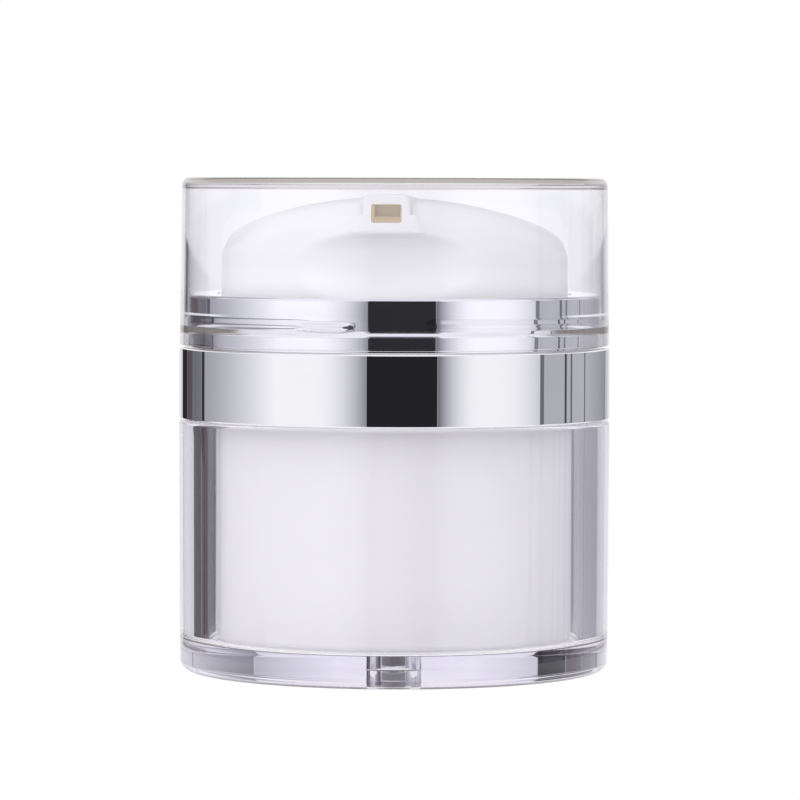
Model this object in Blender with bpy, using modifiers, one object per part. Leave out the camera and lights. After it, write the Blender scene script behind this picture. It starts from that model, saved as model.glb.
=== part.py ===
"""Airless jar, 30 ml class: clear jar, white inner cup, press pump, chromed collar and clear overcap.

The origin is the centre of the foot, +Z is up, and the nozzle looks along -Y.
Every length is in metres. Fits run from the pump's stem outwards and from the foot upwards.
"""

import math

import bmesh
import bpy
from mathutils import Matrix, Vector

# Shared fits
FIT = 0.0003
SNAP_FIT = 0.00035
WELD_DISTANCE = 0.000001
CUT_OVERRUN = 0.0005

# Clear outer jar
JAR_SHOULDER_HEIGHT = 0.0332
JAR_FLOOR = 0.0032
JAR_DRAFT = 0.00015
JAR_CORNER = 0.0012
JAR_INNER_CORNER = 0.0003
JAR_RIM_CHAMFER = 0.0003
JAR_NECK_RISE = 0.0024
JAR_NECK_WALL = 0.0028
JAR_AIR_GAP = 0.00105
FOOT_RECESS = 0.0008
FOOT_WIDTH = 0.0020
VENT_HOLE_RADIUS = 0.0025

# White inner cup, which holds the cream
CUP_BORE_RADIUS = 0.0222
CUP_WALL = 0.00125
CUP_FLOOR = 0.0012
CUP_CORNER = 0.0010
CUP_FLANGE = 0.0011
CUP_BEAD_REACH = 0.0008
CUP_BEAD_HEIGHT = 0.0006
CUP_LIP = 0.0004
CUP_GUIDE_DEPTH = 0.0019
SPIGOT_RADIUS = 0.0016
SPIGOT_BORE = 0.0006
SPIGOT_LENGTH = 0.0030

# Follower piston under the cream
FOLLOWER_REST_GAP = 0.0005
FOLLOWER_HEIGHT = 0.0103
FOLLOWER_LIP = 0.0006
FOLLOWER_WALL = 0.0010
FOLLOWER_WEB = 0.0010
FOLLOWER_WEB_DROP = 0.0012
FOLLOWER_WELL_GAP = 0.0010
FOLLOWER_WELL_RISE = 0.0004

# Pump plate, which closes the cup, and its gasket
GASKET = 0.0006
PLATE_FLANGE = 0.0007
PLATE_WEB = 0.0012
PLATE_EDGE_GAP = 0.0004
PLUG_DEPTH = 0.0034
PLUG_WALL = 0.0010
HUB_WALL = 0.0010
HUB_RISE = 0.0022
HUB_BEAD = 0.0005

# Closure ring, which snaps over the cup
RING_WALL = 0.0013
RING_HOOK_HEIGHT = 0.0006
RING_FLANGE = 0.0007
RING_FLANGE_REACH = 0.0022
RING_SEAT = 0.0008

# Chromed collar
BAND_HEIGHT = 0.0092
BAND_WALL = 0.00085
BAND_FOOT_ROUND = 0.0005
COLLAR_NECK_WALL = 0.0010
COLLAR_SHOULDER = 0.0008
COLLAR_TOP = 0.0010
COLLAR_EDGE = 0.00025

# Pump cylinder, valve cage and ball
CYLINDER_WALL = 0.0012
CYLINDER_FLANGE = 0.0009
CYLINDER_FLANGE_REACH = 0.0040
CYLINDER_RISE = 0.0067
CYLINDER_FLOOR = 0.0012
INLET_THROAT_RADIUS = 0.0015
INLET_THROAT_LENGTH = 0.0008
INLET_WALL = 0.00115
BALL_RADIUS = 0.0020
BALL_LIFT = 0.0007
BALL_SEAT_GAP = 0.00025
CAGE_LID = 0.0006
CAGE_WALL = 0.0020
CAGE_HEIGHT = 0.0016
CAGE_PORT_RADIUS = 0.0009
CAGE_PORTS = 5

# Stem, pump piston and stem tip
PRESS_TRAVEL = 0.0050
PISTON_SLIP = 0.0010
PISTON_WIDTH = 0.0030
PISTON_HEIGHT = 0.0032
PISTON_LIP = 0.0006
PISTON_LIP_HEIGHT = 0.0007
STEM_BORE_RADIUS = 0.0022
STEM_WALL = 0.0012
STEM_STOP_GAP = 0.0005
STEM_SHOULDER = 0.0007
STEM_SHOULDER_REACH = 0.0014
STEM_PORT_WIDTH = 0.0016
STEM_PORT_HEIGHT = 0.0012
TIP_HEAD = 0.0010
TIP_HEAD_REACH = 0.0012
TIP_SHANK = 0.0009

# Stem guide, which closes the cylinder
GUIDE_LID = 0.0010
GUIDE_SKIRT_WALL = 0.0011
GUIDE_SKIRT_DEPTH = 0.0020
GUIDE_COLLAR_WALL = 0.0009
GUIDE_COLLAR_RISE = 0.0008

# Return spring
SPRING_WIRE = 0.0008
SPRING_SIDE_GAP = 0.0006
SPRING_TURNS = 5
SPRING_POINTS_PER_TURN = 10
SPRING_END_SQUEEZE = 0.55
SPRING_BEVEL_RESOLUTION = 1

# Press head
HEAD_FLANGE = 0.0007
HEAD_FLANGE_WIDTH = 0.0013
HEAD_RUNNING_GAP = 0.0004
HEAD_WALL = 0.0013
HEAD_ROOF = 0.0013
HEAD_CROWN_RISE = 0.0131
HEAD_EDGE = 0.0024
SIDE_DROP = 0.0047
BACK_DROP = 0.0030
BACK_DROP_POWER = 1.6
NOSE_ROUND = 0.0028
HEAD_RING_SHARES = (0.30, 0.58, 0.78)

# Nozzle ridge, orifice and finger scoop of the press head
RIDGE_RISE = 0.0004
SPOUT_HEIGHT = 0.0050
SPOUT_TOP_WIDTH = 0.0054
SPOUT_BASE_WIDTH = 0.0091
SPOUT_SPREAD = 0.0015
SPOUT_LENGTH = 0.0108
SPOUT_FALL = 0.0012
SPOUT_INSET = 0.00015
ORIFICE_WIDTH = 0.0036
ORIFICE_HEIGHT = 0.0021
ORIFICE_DROP = 0.00245
SCOOP_STANDOFF = 0.0011
SCOOP_HALF_WIDTH = 0.0187
SCOOP_HALF_HEIGHT = 0.0058
SCOOP_REACH = 0.0061
SCOOP_CENTRE_DROP = 0.0018
SCOOP_FLATNESS = 0.6

# Nozzle core, which joins the stem to the nozzle
CORE_BOSS_WALL = 0.0015
CORE_SOCKET_DEPTH = 0.0026
CORE_FLANGE = 0.0008
DUCT_WIDTH = 0.0046
DUCT_HEIGHT = 0.0028
DUCT_WALL = 0.0006

# Clear overcap
CAP_TOP = 0.00135
CAP_HEAD_GAP = 0.00075
CAP_NECK_GAP = 0.00025
CAP_THREAD_RELIEF = 0.0005
CAP_SKIRT_WALL = 0.00045
CAP_RELIEF_HEIGHT = 0.0035
CAP_RELIEF_RAMP = 0.0012
CAP_DRAFT = 0.0003
CAP_CORNER = 0.0010
CAP_INNER_CORNER = 0.0006
CAP_LIP_ROUND = 0.00015

# Facets round each turned piece
FINE_STEPS = 56
INNER_STEPS = 36
PUMP_STEPS = 28
SMALL_STEPS = 24
FILLET_SEGMENTS = 2

# Radii, from the stem outwards
STEM_RADIUS = STEM_BORE_RADIUS + STEM_WALL
STEM_CLEAR_RADIUS = STEM_RADIUS + FIT
CORE_BOSS_RADIUS = STEM_CLEAR_RADIUS + CORE_BOSS_WALL
CHAMBER_RADIUS = STEM_CLEAR_RADIUS + PISTON_WIDTH + FIT
CYLINDER_RADIUS = CHAMBER_RADIUS + CYLINDER_WALL
GUIDE_RADIUS = CYLINDER_RADIUS + FIT + GUIDE_SKIRT_WALL
SPRING_RADIUS = GUIDE_RADIUS + SPRING_SIDE_GAP + SPRING_WIRE / 2
CORE_FLANGE_RADIUS = SPRING_RADIUS + SPRING_WIRE
CYLINDER_FLANGE_RADIUS = CYLINDER_RADIUS + CYLINDER_FLANGE_REACH
HUB_BORE_RADIUS = CYLINDER_FLANGE_RADIUS + FIT
HUB_RADIUS = HUB_BORE_RADIUS + HUB_WALL
WELL_RADIUS = CYLINDER_RADIUS + FOLLOWER_WELL_GAP
FOLLOWER_RADIUS = CUP_BORE_RADIUS - FIT
PLUG_RADIUS = CUP_BORE_RADIUS - FIT
PLUG_INNER_RADIUS = PLUG_RADIUS - PLUG_WALL
CUP_RADIUS = CUP_BORE_RADIUS + CUP_WALL
CUP_BEAD_RADIUS = CUP_RADIUS + CUP_BEAD_REACH
RING_BORE_RADIUS = CUP_BEAD_RADIUS + SNAP_FIT
RING_RADIUS = RING_BORE_RADIUS + RING_WALL
COLLAR_NECK_BORE = RING_RADIUS + FIT
COLLAR_NECK_RADIUS = COLLAR_NECK_BORE + COLLAR_NECK_WALL
HEAD_FLANGE_RADIUS = RING_BORE_RADIUS - HEAD_RUNNING_GAP
HEAD_RADIUS = HEAD_FLANGE_RADIUS - HEAD_FLANGE_WIDTH
HEAD_BORE_RADIUS = HEAD_RADIUS - HEAD_WALL
COLLAR_BORE_RADIUS = HEAD_RADIUS + SNAP_FIT
PLATE_RADIUS = RING_BORE_RADIUS - PLATE_EDGE_GAP
JAR_BORE_RADIUS = CUP_RADIUS + JAR_AIR_GAP
JAR_NECK_RADIUS = JAR_BORE_RADIUS + JAR_NECK_WALL
BAND_BORE_RADIUS = JAR_NECK_RADIUS + SNAP_FIT
BAND_RADIUS = max(BAND_BORE_RADIUS, COLLAR_NECK_RADIUS) + BAND_WALL
CUP_GUIDE_RADIUS = JAR_BORE_RADIUS - PLATE_EDGE_GAP
CAP_BORE_RADIUS = COLLAR_NECK_RADIUS + CAP_NECK_GAP
CAP_RELIEF_RADIUS = CAP_BORE_RADIUS + CAP_THREAD_RELIEF
CAP_RADIUS = CAP_RELIEF_RADIUS + CAP_SKIRT_WALL

# Heights, from the foot upwards
JAR_FLOOR_TOP = FOOT_RECESS + JAR_FLOOR
JAR_NECK_TOP = JAR_SHOULDER_HEIGHT + JAR_NECK_RISE
CUP_BASE = JAR_FLOOR_TOP + FIT
CUP_FLOOR_TOP = CUP_BASE + CUP_FLOOR
CUP_FLANGE_BASE = JAR_NECK_TOP + FIT
CUP_FLANGE_TOP = CUP_FLANGE_BASE + CUP_FLANGE
RING_BASE = CUP_FLANGE_TOP + FIT
RING_HOOK_TOP = RING_BASE + RING_HOOK_HEIGHT
CUP_BEAD_BASE = RING_HOOK_TOP + FIT
CUP_BEAD_TOP = CUP_BEAD_BASE + CUP_BEAD_HEIGHT
CUP_TOP = CUP_BEAD_TOP + CUP_LIP
GASKET_BASE = CUP_TOP + FIT
PLATE_FLANGE_BASE = GASKET_BASE + GASKET + FIT
PLATE_TOP = PLATE_FLANGE_BASE + PLATE_FLANGE
PLATE_BASE = PLATE_FLANGE_BASE - PLUG_DEPTH
PLATE_WEB_TOP = PLATE_BASE + PLATE_WEB
RING_FLANGE_BASE = PLATE_TOP + FIT
RING_FLANGE_TOP = RING_FLANGE_BASE + RING_FLANGE
HEAD_BASE = RING_FLANGE_TOP + FIT + PRESS_TRAVEL
HEAD_FLANGE_TOP = HEAD_BASE + HEAD_FLANGE
COLLAR_CEILING = HEAD_FLANGE_TOP + FIT
COLLAR_HEIGHT = COLLAR_CEILING + COLLAR_TOP
RING_TOP = COLLAR_CEILING - FIT
BAND_BASE = JAR_SHOULDER_HEIGHT + FIT
BAND_TOP = BAND_BASE + BAND_HEIGHT
BAND_CEILING = BAND_TOP - COLLAR_SHOULDER
RING_SEAT_TOP = BAND_CEILING - FIT
RING_SEAT_BASE = RING_SEAT_TOP - RING_SEAT
CROWN_HEIGHT = COLLAR_HEIGHT + HEAD_CROWN_RISE
RIDGE_HEIGHT = CROWN_HEIGHT + RIDGE_RISE
SPOUT_BASE = RIDGE_HEIGHT - SPOUT_HEIGHT
ORIFICE_CENTRE = RIDGE_HEIGHT - ORIFICE_DROP
CAP_BASE = BAND_TOP + FIT
CAP_CEILING = RIDGE_HEIGHT + CAP_HEAD_GAP
CAP_HEIGHT = CAP_CEILING + CAP_TOP

# Heights inside the pump, from the cylinder's flange up to its rim and then down to its inlet
CYLINDER_FLANGE_BASE = PLATE_WEB_TOP + FIT
CYLINDER_FLANGE_TOP = CYLINDER_FLANGE_BASE + CYLINDER_FLANGE
CYLINDER_TOP = CYLINDER_FLANGE_TOP + CYLINDER_RISE
GUIDE_LID_BASE = CYLINDER_TOP + FIT
GUIDE_LID_TOP = GUIDE_LID_BASE + GUIDE_LID
STEM_SHOULDER_TOP = GUIDE_LID_BASE - STEM_STOP_GAP
STEM_SHOULDER_BASE = STEM_SHOULDER_TOP - STEM_SHOULDER
PISTON_TOP = STEM_SHOULDER_BASE - FIT - PISTON_SLIP
PISTON_BASE = PISTON_TOP - PISTON_HEIGHT
TIP_TOP = PISTON_BASE - FIT
TIP_BASE = TIP_TOP - TIP_HEAD
CAGE_TOP = TIP_BASE - PRESS_TRAVEL - FIT
CAGE_CEILING = CAGE_TOP - CAGE_LID
CAGE_BASE = CAGE_TOP - CAGE_HEIGHT
BALL_CENTRE = CAGE_CEILING - FIT - BALL_LIFT - BALL_RADIUS
CHAMBER_FLOOR = CAGE_BASE - FIT
CYLINDER_BASE = CHAMBER_FLOOR - CYLINDER_FLOOR

# Heights of the follower at the bottom of the cup
FOLLOWER_BASE = CUP_FLOOR_TOP + FOLLOWER_REST_GAP
FOLLOWER_TOP = FOLLOWER_BASE + FOLLOWER_HEIGHT
FOLLOWER_WEB_TOP = FOLLOWER_TOP - FOLLOWER_WEB_DROP
WELL_BASE = FOLLOWER_BASE + FOLLOWER_WELL_RISE

# Colours as red, green and blue in linear light
CLEAR_TINT = (0.96, 0.96, 0.98)
HEAD_WHITE = (0.86, 0.85, 0.88)
CUP_WHITE = (0.84, 0.83, 0.87)
NATURAL_WHITE = (0.80, 0.80, 0.78)
CHROME = (0.88, 0.88, 0.89)
STEEL = (0.60, 0.60, 0.61)
SEAL_GREY = (0.55, 0.55, 0.54)


def collection(name):
    """A new collection in the scene."""
    made = bpy.data.collections.new(name)
    bpy.context.scene.collection.children.link(made)
    return made


def plastic(name, colour, roughness, clearness=0.0, metallic=0.0):
    """A Principled material of one colour."""
    material = bpy.data.materials.new(name)
    material.use_nodes = True
    shader = material.node_tree.nodes["Principled BSDF"]
    shader.inputs["Base Color"].default_value = (*colour, 1.0)
    shader.inputs["Roughness"].default_value = roughness
    shader.inputs["Metallic"].default_value = metallic
    shader.inputs["Transmission Weight"].default_value = clearness
    material.diffuse_color = (*colour, 1.0)
    return material


def placed(name, mesh, home, material=None):
    """An object of this mesh in a collection, at the origin."""
    piece = bpy.data.objects.new(name, mesh)
    home.objects.link(piece)
    if material:
        mesh.materials.append(material)
    return piece


def rounded(corners):
    """The outline through (radius, height) corners. A third number rounds its corner by that radius."""
    points = []
    count = len(corners)
    for index, corner in enumerate(corners):
        here = Vector(corner[:2])
        if len(corner) == 2:
            points.append(here)
            continue
        before = Vector(corners[index - 1][:2]) - here
        after = Vector(corners[(index + 1) % count][:2]) - here
        opening = before.angle(after)
        reach = corner[2] / math.tan(opening / 2)
        reach = min(reach, before.length / 2, after.length / 2)
        radius = reach * math.tan(opening / 2)
        inward = (before.normalized() + after.normalized()).normalized()
        centre = here + inward * (radius / math.sin(opening / 2))
        start = here + before.normalized() * reach - centre
        end = here + after.normalized() * reach - centre
        sweep = start.angle_signed(end)
        for step in range(FILLET_SEGMENTS + 1):
            turn = Matrix.Rotation(-sweep * step / FILLET_SEGMENTS, 2)
            points.append(centre + turn @ start)
    return points


def turned(name, corners, steps, home, material=None):
    """A piece turned about Z from corners that run down its outer side and back up its bore.

    An outline that starts and ends on the axis stays open there, and any other closes into a ring.
    """
    points = rounded(corners)
    verts = [(point.x, 0, point.y) for point in points]
    edges = [(index, index + 1) for index in range(len(verts) - 1)]
    if corners[0][0] > 0:
        edges.append((len(verts) - 1, 0))
    mesh = bpy.data.meshes.new(name)
    mesh.from_pydata(verts, edges, [])
    piece = placed(name, mesh, home, material)
    screw = piece.modifiers.new("turn", "SCREW")
    screw.steps = steps
    screw.render_steps = steps
    screw.use_merge_vertices = True
    screw.merge_threshold = WELD_DISTANCE
    screw.use_smooth_shade = True
    return piece


def frozen(piece):
    """Gives the piece the mesh that its modifiers make, so that its points can be moved."""
    bpy.context.view_layer.update()
    evaluated = piece.evaluated_get(bpy.context.evaluated_depsgraph_get())
    piece.data = bpy.data.meshes.new_from_object(evaluated)
    piece.modifiers.clear()
    return piece


def sharpened(mesh):
    """Smooth shading that keeps edges above 35 degrees crisp."""
    mesh.shade_smooth()
    mesh.set_sharp_from_angle(angle=math.radians(35))


def joined(piece, other, operation):
    """Cuts the other solid from the piece, or fuses it on."""
    boolean = piece.modifiers.new(other.name, "BOOLEAN")
    boolean.operation = operation
    boolean.object = other


def as_tool(piece):
    """Hides a cutter or a filler from the finished part."""
    piece.hide_render = True
    piece.display_type = "WIRE"
    return piece


def block(name, size, matrix, home):
    """A box of this size under this matrix, used as a tool."""
    mesh = bpy.data.meshes.new(name)
    shape = bmesh.new()
    bmesh.ops.create_cube(shape, size=1, matrix=matrix @ Matrix.Diagonal((*size, 1)))
    shape.to_mesh(mesh)
    shape.free()
    return as_tool(placed(name, mesh, home))


def rod(name, radius, length, matrix, segments, home):
    """A cylinder about the matrix's own Z, used as a tool."""
    mesh = bpy.data.meshes.new(name)
    shape = bmesh.new()
    bmesh.ops.create_cone(
        shape, cap_ends=True, segments=segments, radius1=radius, radius2=radius, depth=length, matrix=matrix
    )
    shape.to_mesh(mesh)
    shape.free()
    return as_tool(placed(name, mesh, home))


def side_drop(x):
    """How far the crown's arch has fallen at this distance from the middle plane."""
    arch_radius = (HEAD_RADIUS**2 + SIDE_DROP**2) / (2 * SIDE_DROP)
    return arch_radius - math.sqrt(arch_radius**2 - min(abs(x), HEAD_RADIUS) ** 2)


def back_drop(y):
    """How far the crown has fallen from the front edge back to this place."""
    share = max(0.0, (y + HEAD_RADIUS) / (2 * HEAD_RADIUS))
    return BACK_DROP * share**BACK_DROP_POWER


def nose_drop(x, y, edge_radius):
    """The extra rounding of the front edge of the crown."""
    radius = math.hypot(x, y)
    if radius == 0 or y >= 0:
        return 0.0
    into = min(1.0, max(0.0, (radius - edge_radius) / NOSE_ROUND + 1))
    return NOSE_ROUND * (1 - math.sqrt(1 - into**2)) * (y / radius) ** 2


def crown_height_at(x, y):
    """The height of the head's outer skin over a place on its crown."""
    return CROWN_HEIGHT - side_drop(x) - back_drop(y)


def lean(piece, edge_top, edge_radius):
    """Bends a flat-topped can into the head's crown: an arch from side to side that falls to the back."""
    frozen(piece)
    for vert in piece.data.vertices:
        x, y, z = vert.co
        share = min(1.0, max(0.0, (z - COLLAR_HEIGHT) / (edge_top - COLLAR_HEIGHT)))
        vert.co.z = z - share * (side_drop(x) + back_drop(y) + nose_drop(x, y, edge_radius))
    sharpened(piece.data)


def make_outer_jar(parts, material):
    """The clear jar: thick wall and floor, a foot ring, a rim ledge and a thin neck inside the collar."""
    foot_outer = BAND_RADIUS - JAR_DRAFT
    foot_inner = foot_outer - JAR_CORNER - FOOT_WIDTH
    corners = [
        (JAR_NECK_RADIUS, JAR_NECK_TOP),
        (JAR_NECK_RADIUS, JAR_SHOULDER_HEIGHT),
        (BAND_RADIUS - JAR_RIM_CHAMFER, JAR_SHOULDER_HEIGHT),
        (BAND_RADIUS, JAR_SHOULDER_HEIGHT - JAR_RIM_CHAMFER),
        (foot_outer, 0, JAR_CORNER),
        (foot_inner, 0),
        (foot_inner - FOOT_RECESS, FOOT_RECESS),
        (VENT_HOLE_RADIUS, FOOT_RECESS),
        (VENT_HOLE_RADIUS, JAR_FLOOR_TOP),
        (JAR_BORE_RADIUS - JAR_INNER_CORNER, JAR_FLOOR_TOP),
        (JAR_BORE_RADIUS, JAR_FLOOR_TOP + JAR_INNER_CORNER),
        (JAR_BORE_RADIUS, JAR_NECK_TOP),
    ]
    return turned("outer_jar", corners, FINE_STEPS, parts, material)


def make_inner_cup(parts, material):
    """The white cup: its flange hangs on the jar's neck and its vent spigot stands in the jar's floor."""
    corners = [
        (CUP_RADIUS, CUP_TOP),
        (CUP_RADIUS, CUP_BEAD_TOP),
        (CUP_BEAD_RADIUS, CUP_BEAD_TOP - CUP_BEAD_HEIGHT / 2),
        (CUP_BEAD_RADIUS, CUP_BEAD_BASE),
        (CUP_RADIUS, CUP_BEAD_BASE),
        (CUP_RADIUS, CUP_FLANGE_TOP),
        (JAR_NECK_RADIUS - FIT, CUP_FLANGE_TOP),
        (JAR_NECK_RADIUS - FIT, CUP_FLANGE_BASE),
        (CUP_GUIDE_RADIUS, CUP_FLANGE_BASE),
        (CUP_GUIDE_RADIUS, CUP_FLANGE_BASE - CUP_GUIDE_DEPTH),
        (CUP_RADIUS, CUP_FLANGE_BASE - CUP_GUIDE_DEPTH),
        (CUP_RADIUS, CUP_BASE, CUP_CORNER),
        (SPIGOT_RADIUS, CUP_BASE),
        (SPIGOT_RADIUS, CUP_BASE - SPIGOT_LENGTH),
        (SPIGOT_BORE, CUP_BASE - SPIGOT_LENGTH),
        (SPIGOT_BORE, CUP_FLOOR_TOP),
        (CUP_BORE_RADIUS, CUP_FLOOR_TOP),
        (CUP_BORE_RADIUS, CUP_TOP),
    ]
    return turned("inner_cup", corners, INNER_STEPS, parts, material)


def make_follower_piston(parts, material):
    """The disc that air pushes up under the cream: two wiping lips and a well for the pump's inlet."""
    waist = FOLLOWER_RADIUS - FOLLOWER_LIP
    wall_inner = waist - FOLLOWER_WALL
    well_outer = WELL_RADIUS + FOLLOWER_WALL
    corners = [
        (FOLLOWER_RADIUS, FOLLOWER_TOP),
        (FOLLOWER_RADIUS, FOLLOWER_TOP - FOLLOWER_LIP),
        (waist, FOLLOWER_WEB_TOP - FOLLOWER_WEB),
        (waist, FOLLOWER_BASE + 2 * FOLLOWER_LIP),
        (FOLLOWER_RADIUS, FOLLOWER_BASE + FOLLOWER_LIP),
        (FOLLOWER_RADIUS, FOLLOWER_BASE),
        (wall_inner, FOLLOWER_BASE),
        (wall_inner, FOLLOWER_WEB_TOP - FOLLOWER_WEB),
        (well_outer, FOLLOWER_WEB_TOP - FOLLOWER_WEB),
        (well_outer, WELL_BASE),
        (0, WELL_BASE),
    ]
    upper = [
        (0, WELL_BASE + FOLLOWER_WEB),
        (WELL_RADIUS, WELL_BASE + FOLLOWER_WEB),
        (WELL_RADIUS, FOLLOWER_WEB_TOP),
        (wall_inner, FOLLOWER_WEB_TOP),
    ]
    return turned("follower_piston", upper + corners, INNER_STEPS, parts, material)


def make_plate_gasket(parts, material):
    """The flat seal between the cup's rim and the pump plate."""
    corners = [
        (PLATE_RADIUS, GASKET_BASE + GASKET),
        (PLATE_RADIUS, GASKET_BASE),
        (CUP_BORE_RADIUS, GASKET_BASE),
        (CUP_BORE_RADIUS, GASKET_BASE + GASKET),
    ]
    return turned("plate_gasket", corners, INNER_STEPS, parts, material)


def make_pump_plate(parts, material):
    """The dished plate that plugs the cup and carries the pump in its hub."""
    corners = [
        (PLATE_RADIUS, PLATE_TOP),
        (PLATE_RADIUS, PLATE_FLANGE_BASE),
        (PLUG_RADIUS, PLATE_FLANGE_BASE),
        (PLUG_RADIUS, PLATE_BASE, PLUG_WALL / 2),
        (CYLINDER_RADIUS + FIT, PLATE_BASE),
        (CYLINDER_RADIUS + FIT, PLATE_WEB_TOP),
        (HUB_BORE_RADIUS, PLATE_WEB_TOP),
        (HUB_BORE_RADIUS, CYLINDER_FLANGE_TOP + FIT),
        (HUB_BORE_RADIUS - HUB_BEAD, CYLINDER_FLANGE_TOP + FIT + HUB_BEAD),
        (HUB_BORE_RADIUS, PLATE_WEB_TOP + HUB_RISE + HUB_BEAD),
        (HUB_RADIUS, PLATE_WEB_TOP + HUB_RISE + HUB_BEAD),
        (HUB_RADIUS, PLATE_WEB_TOP),
        (PLUG_INNER_RADIUS, PLATE_WEB_TOP),
        (PLUG_INNER_RADIUS, PLATE_TOP),
    ]
    return turned("pump_plate", corners, INNER_STEPS, parts, material)


def make_closure_ring(parts, material):
    """The white ring that hooks under the cup's bead, holds the plate down and carries the collar."""
    corners = [
        (RING_RADIUS, RING_TOP),
        (RING_RADIUS, RING_SEAT_TOP),
        (BAND_BORE_RADIUS - FIT, RING_SEAT_TOP),
        (BAND_BORE_RADIUS - FIT, RING_SEAT_BASE),
        (RING_RADIUS, RING_SEAT_BASE),
        (RING_RADIUS, RING_BASE),
        (CUP_RADIUS + SNAP_FIT, RING_BASE),
        (CUP_RADIUS + SNAP_FIT, RING_HOOK_TOP),
        (RING_BORE_RADIUS, RING_HOOK_TOP),
        (RING_BORE_RADIUS, RING_FLANGE_BASE),
        (RING_BORE_RADIUS - RING_FLANGE_REACH, RING_FLANGE_BASE),
        (RING_BORE_RADIUS - RING_FLANGE_REACH, RING_FLANGE_TOP),
        (RING_BORE_RADIUS, RING_FLANGE_TOP),
        (RING_BORE_RADIUS, RING_TOP),
    ]
    return turned("closure_ring", corners, INNER_STEPS, parts, material)


def make_collar_sleeve(parts, material):
    """The chromed collar: a wide band flush with the jar, and a narrower neck that the cap fits over."""
    corners = [
        (COLLAR_NECK_RADIUS - COLLAR_EDGE, COLLAR_HEIGHT),
        (COLLAR_NECK_RADIUS, COLLAR_HEIGHT - COLLAR_EDGE),
        (COLLAR_NECK_RADIUS, BAND_TOP),
        (BAND_RADIUS - COLLAR_EDGE, BAND_TOP),
        (BAND_RADIUS, BAND_TOP - COLLAR_EDGE),
        (BAND_RADIUS, BAND_BASE, BAND_FOOT_ROUND),
        (BAND_BORE_RADIUS, BAND_BASE),
        (BAND_BORE_RADIUS, BAND_CEILING),
        (COLLAR_NECK_BORE, BAND_CEILING),
        (COLLAR_NECK_BORE, COLLAR_CEILING),
        (COLLAR_BORE_RADIUS, COLLAR_CEILING),
        (COLLAR_BORE_RADIUS, COLLAR_HEIGHT - COLLAR_EDGE),
        (COLLAR_BORE_RADIUS + COLLAR_EDGE, COLLAR_HEIGHT),
    ]
    return turned("collar_sleeve", corners, FINE_STEPS, parts, material)


def make_overcap(parts, material):
    """The clear cap: a flat top, a drafted wall and a relieved skirt round the collar's neck."""
    relief_top = CAP_BASE + CAP_RELIEF_HEIGHT
    top_bore_radius = CAP_BORE_RADIUS - CAP_DRAFT / 2
    corners = [
        (0, CAP_HEIGHT),
        (CAP_RADIUS - CAP_DRAFT, CAP_HEIGHT, CAP_CORNER),
        (CAP_RADIUS, CAP_BASE + CAP_LIP_ROUND),
        (CAP_RADIUS - CAP_LIP_ROUND, CAP_BASE),
        (CAP_RELIEF_RADIUS, CAP_BASE),
        (CAP_RELIEF_RADIUS, relief_top),
        (CAP_BORE_RADIUS, relief_top + CAP_RELIEF_RAMP),
        (top_bore_radius, CAP_CEILING, CAP_INNER_CORNER),
        (0, CAP_CEILING),
    ]
    return turned("overcap", corners, FINE_STEPS, parts, material)


def inlet_seat_height():
    """The height of the throat's edge, on which the ball closes the inlet."""
    reach = BALL_RADIUS + BALL_SEAT_GAP
    return BALL_CENTRE - math.sqrt(reach**2 - INLET_THROAT_RADIUS**2)


def make_pump_cylinder(parts, material):
    """The pump's chamber, with a flange on the plate and an inlet tube below that holds the ball's seat."""
    seat = inlet_seat_height()
    tube_bore = BALL_RADIUS + SNAP_FIT
    tube_radius = tube_bore + INLET_WALL
    seat_rise = tube_bore - INLET_THROAT_RADIUS
    corners = [
        (CYLINDER_RADIUS, CYLINDER_TOP),
        (CYLINDER_RADIUS, CYLINDER_FLANGE_TOP),
        (CYLINDER_FLANGE_RADIUS, CYLINDER_FLANGE_TOP),
        (CYLINDER_FLANGE_RADIUS, CYLINDER_FLANGE_BASE),
        (CYLINDER_RADIUS, CYLINDER_FLANGE_BASE),
        (CYLINDER_RADIUS, CYLINDER_BASE, CYLINDER_WALL),
        (tube_radius, CYLINDER_BASE),
        (tube_radius, seat - INLET_THROAT_LENGTH),
        (INLET_THROAT_RADIUS, seat - INLET_THROAT_LENGTH),
        (INLET_THROAT_RADIUS, seat),
        (tube_bore, seat + seat_rise),
        (tube_bore, CHAMBER_FLOOR),
        (CHAMBER_RADIUS, CHAMBER_FLOOR),
        (CHAMBER_RADIUS, CYLINDER_TOP),
    ]
    return turned("pump_cylinder", corners, PUMP_STEPS, parts, material)


def make_intake_ball(parts, material):
    """The steel ball that closes the inlet when the head is pressed."""
    mesh = bpy.data.meshes.new("intake_ball")
    shape = bmesh.new()
    centre = Matrix.Translation((0, 0, BALL_CENTRE))
    bmesh.ops.create_uvsphere(shape, u_segments=14, v_segments=8, radius=BALL_RADIUS, matrix=centre)
    shape.to_mesh(mesh)
    shape.free()
    mesh.shade_smooth()
    return placed("intake_ball", mesh, parts, material)


def make_valve_cage(parts, cutters, material):
    """The cup pressed into the chamber's floor, which keeps the ball in and lets the cream past."""
    outer = CHAMBER_RADIUS - FIT
    corners = [
        (0, CAGE_TOP),
        (outer, CAGE_TOP),
        (outer, CAGE_BASE),
        (outer - CAGE_WALL, CAGE_BASE),
        (outer - CAGE_WALL, CAGE_CEILING),
        (0, CAGE_CEILING),
    ]
    cage = turned("valve_cage", corners, PUMP_STEPS, parts, material)
    port_circle = outer - CAGE_WALL - CAGE_PORT_RADIUS - FIT
    for index in range(CAGE_PORTS):
        place = Matrix.Rotation(2 * math.pi * index / CAGE_PORTS, 4, "Z")
        place @= Matrix.Translation((port_circle, 0, CAGE_TOP - CAGE_LID / 2))
        port = rod(f"cage_port_{index}", CAGE_PORT_RADIUS, 2 * CAGE_LID, place, 10, cutters)
        joined(cage, port, "DIFFERENCE")
    return cage


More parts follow.
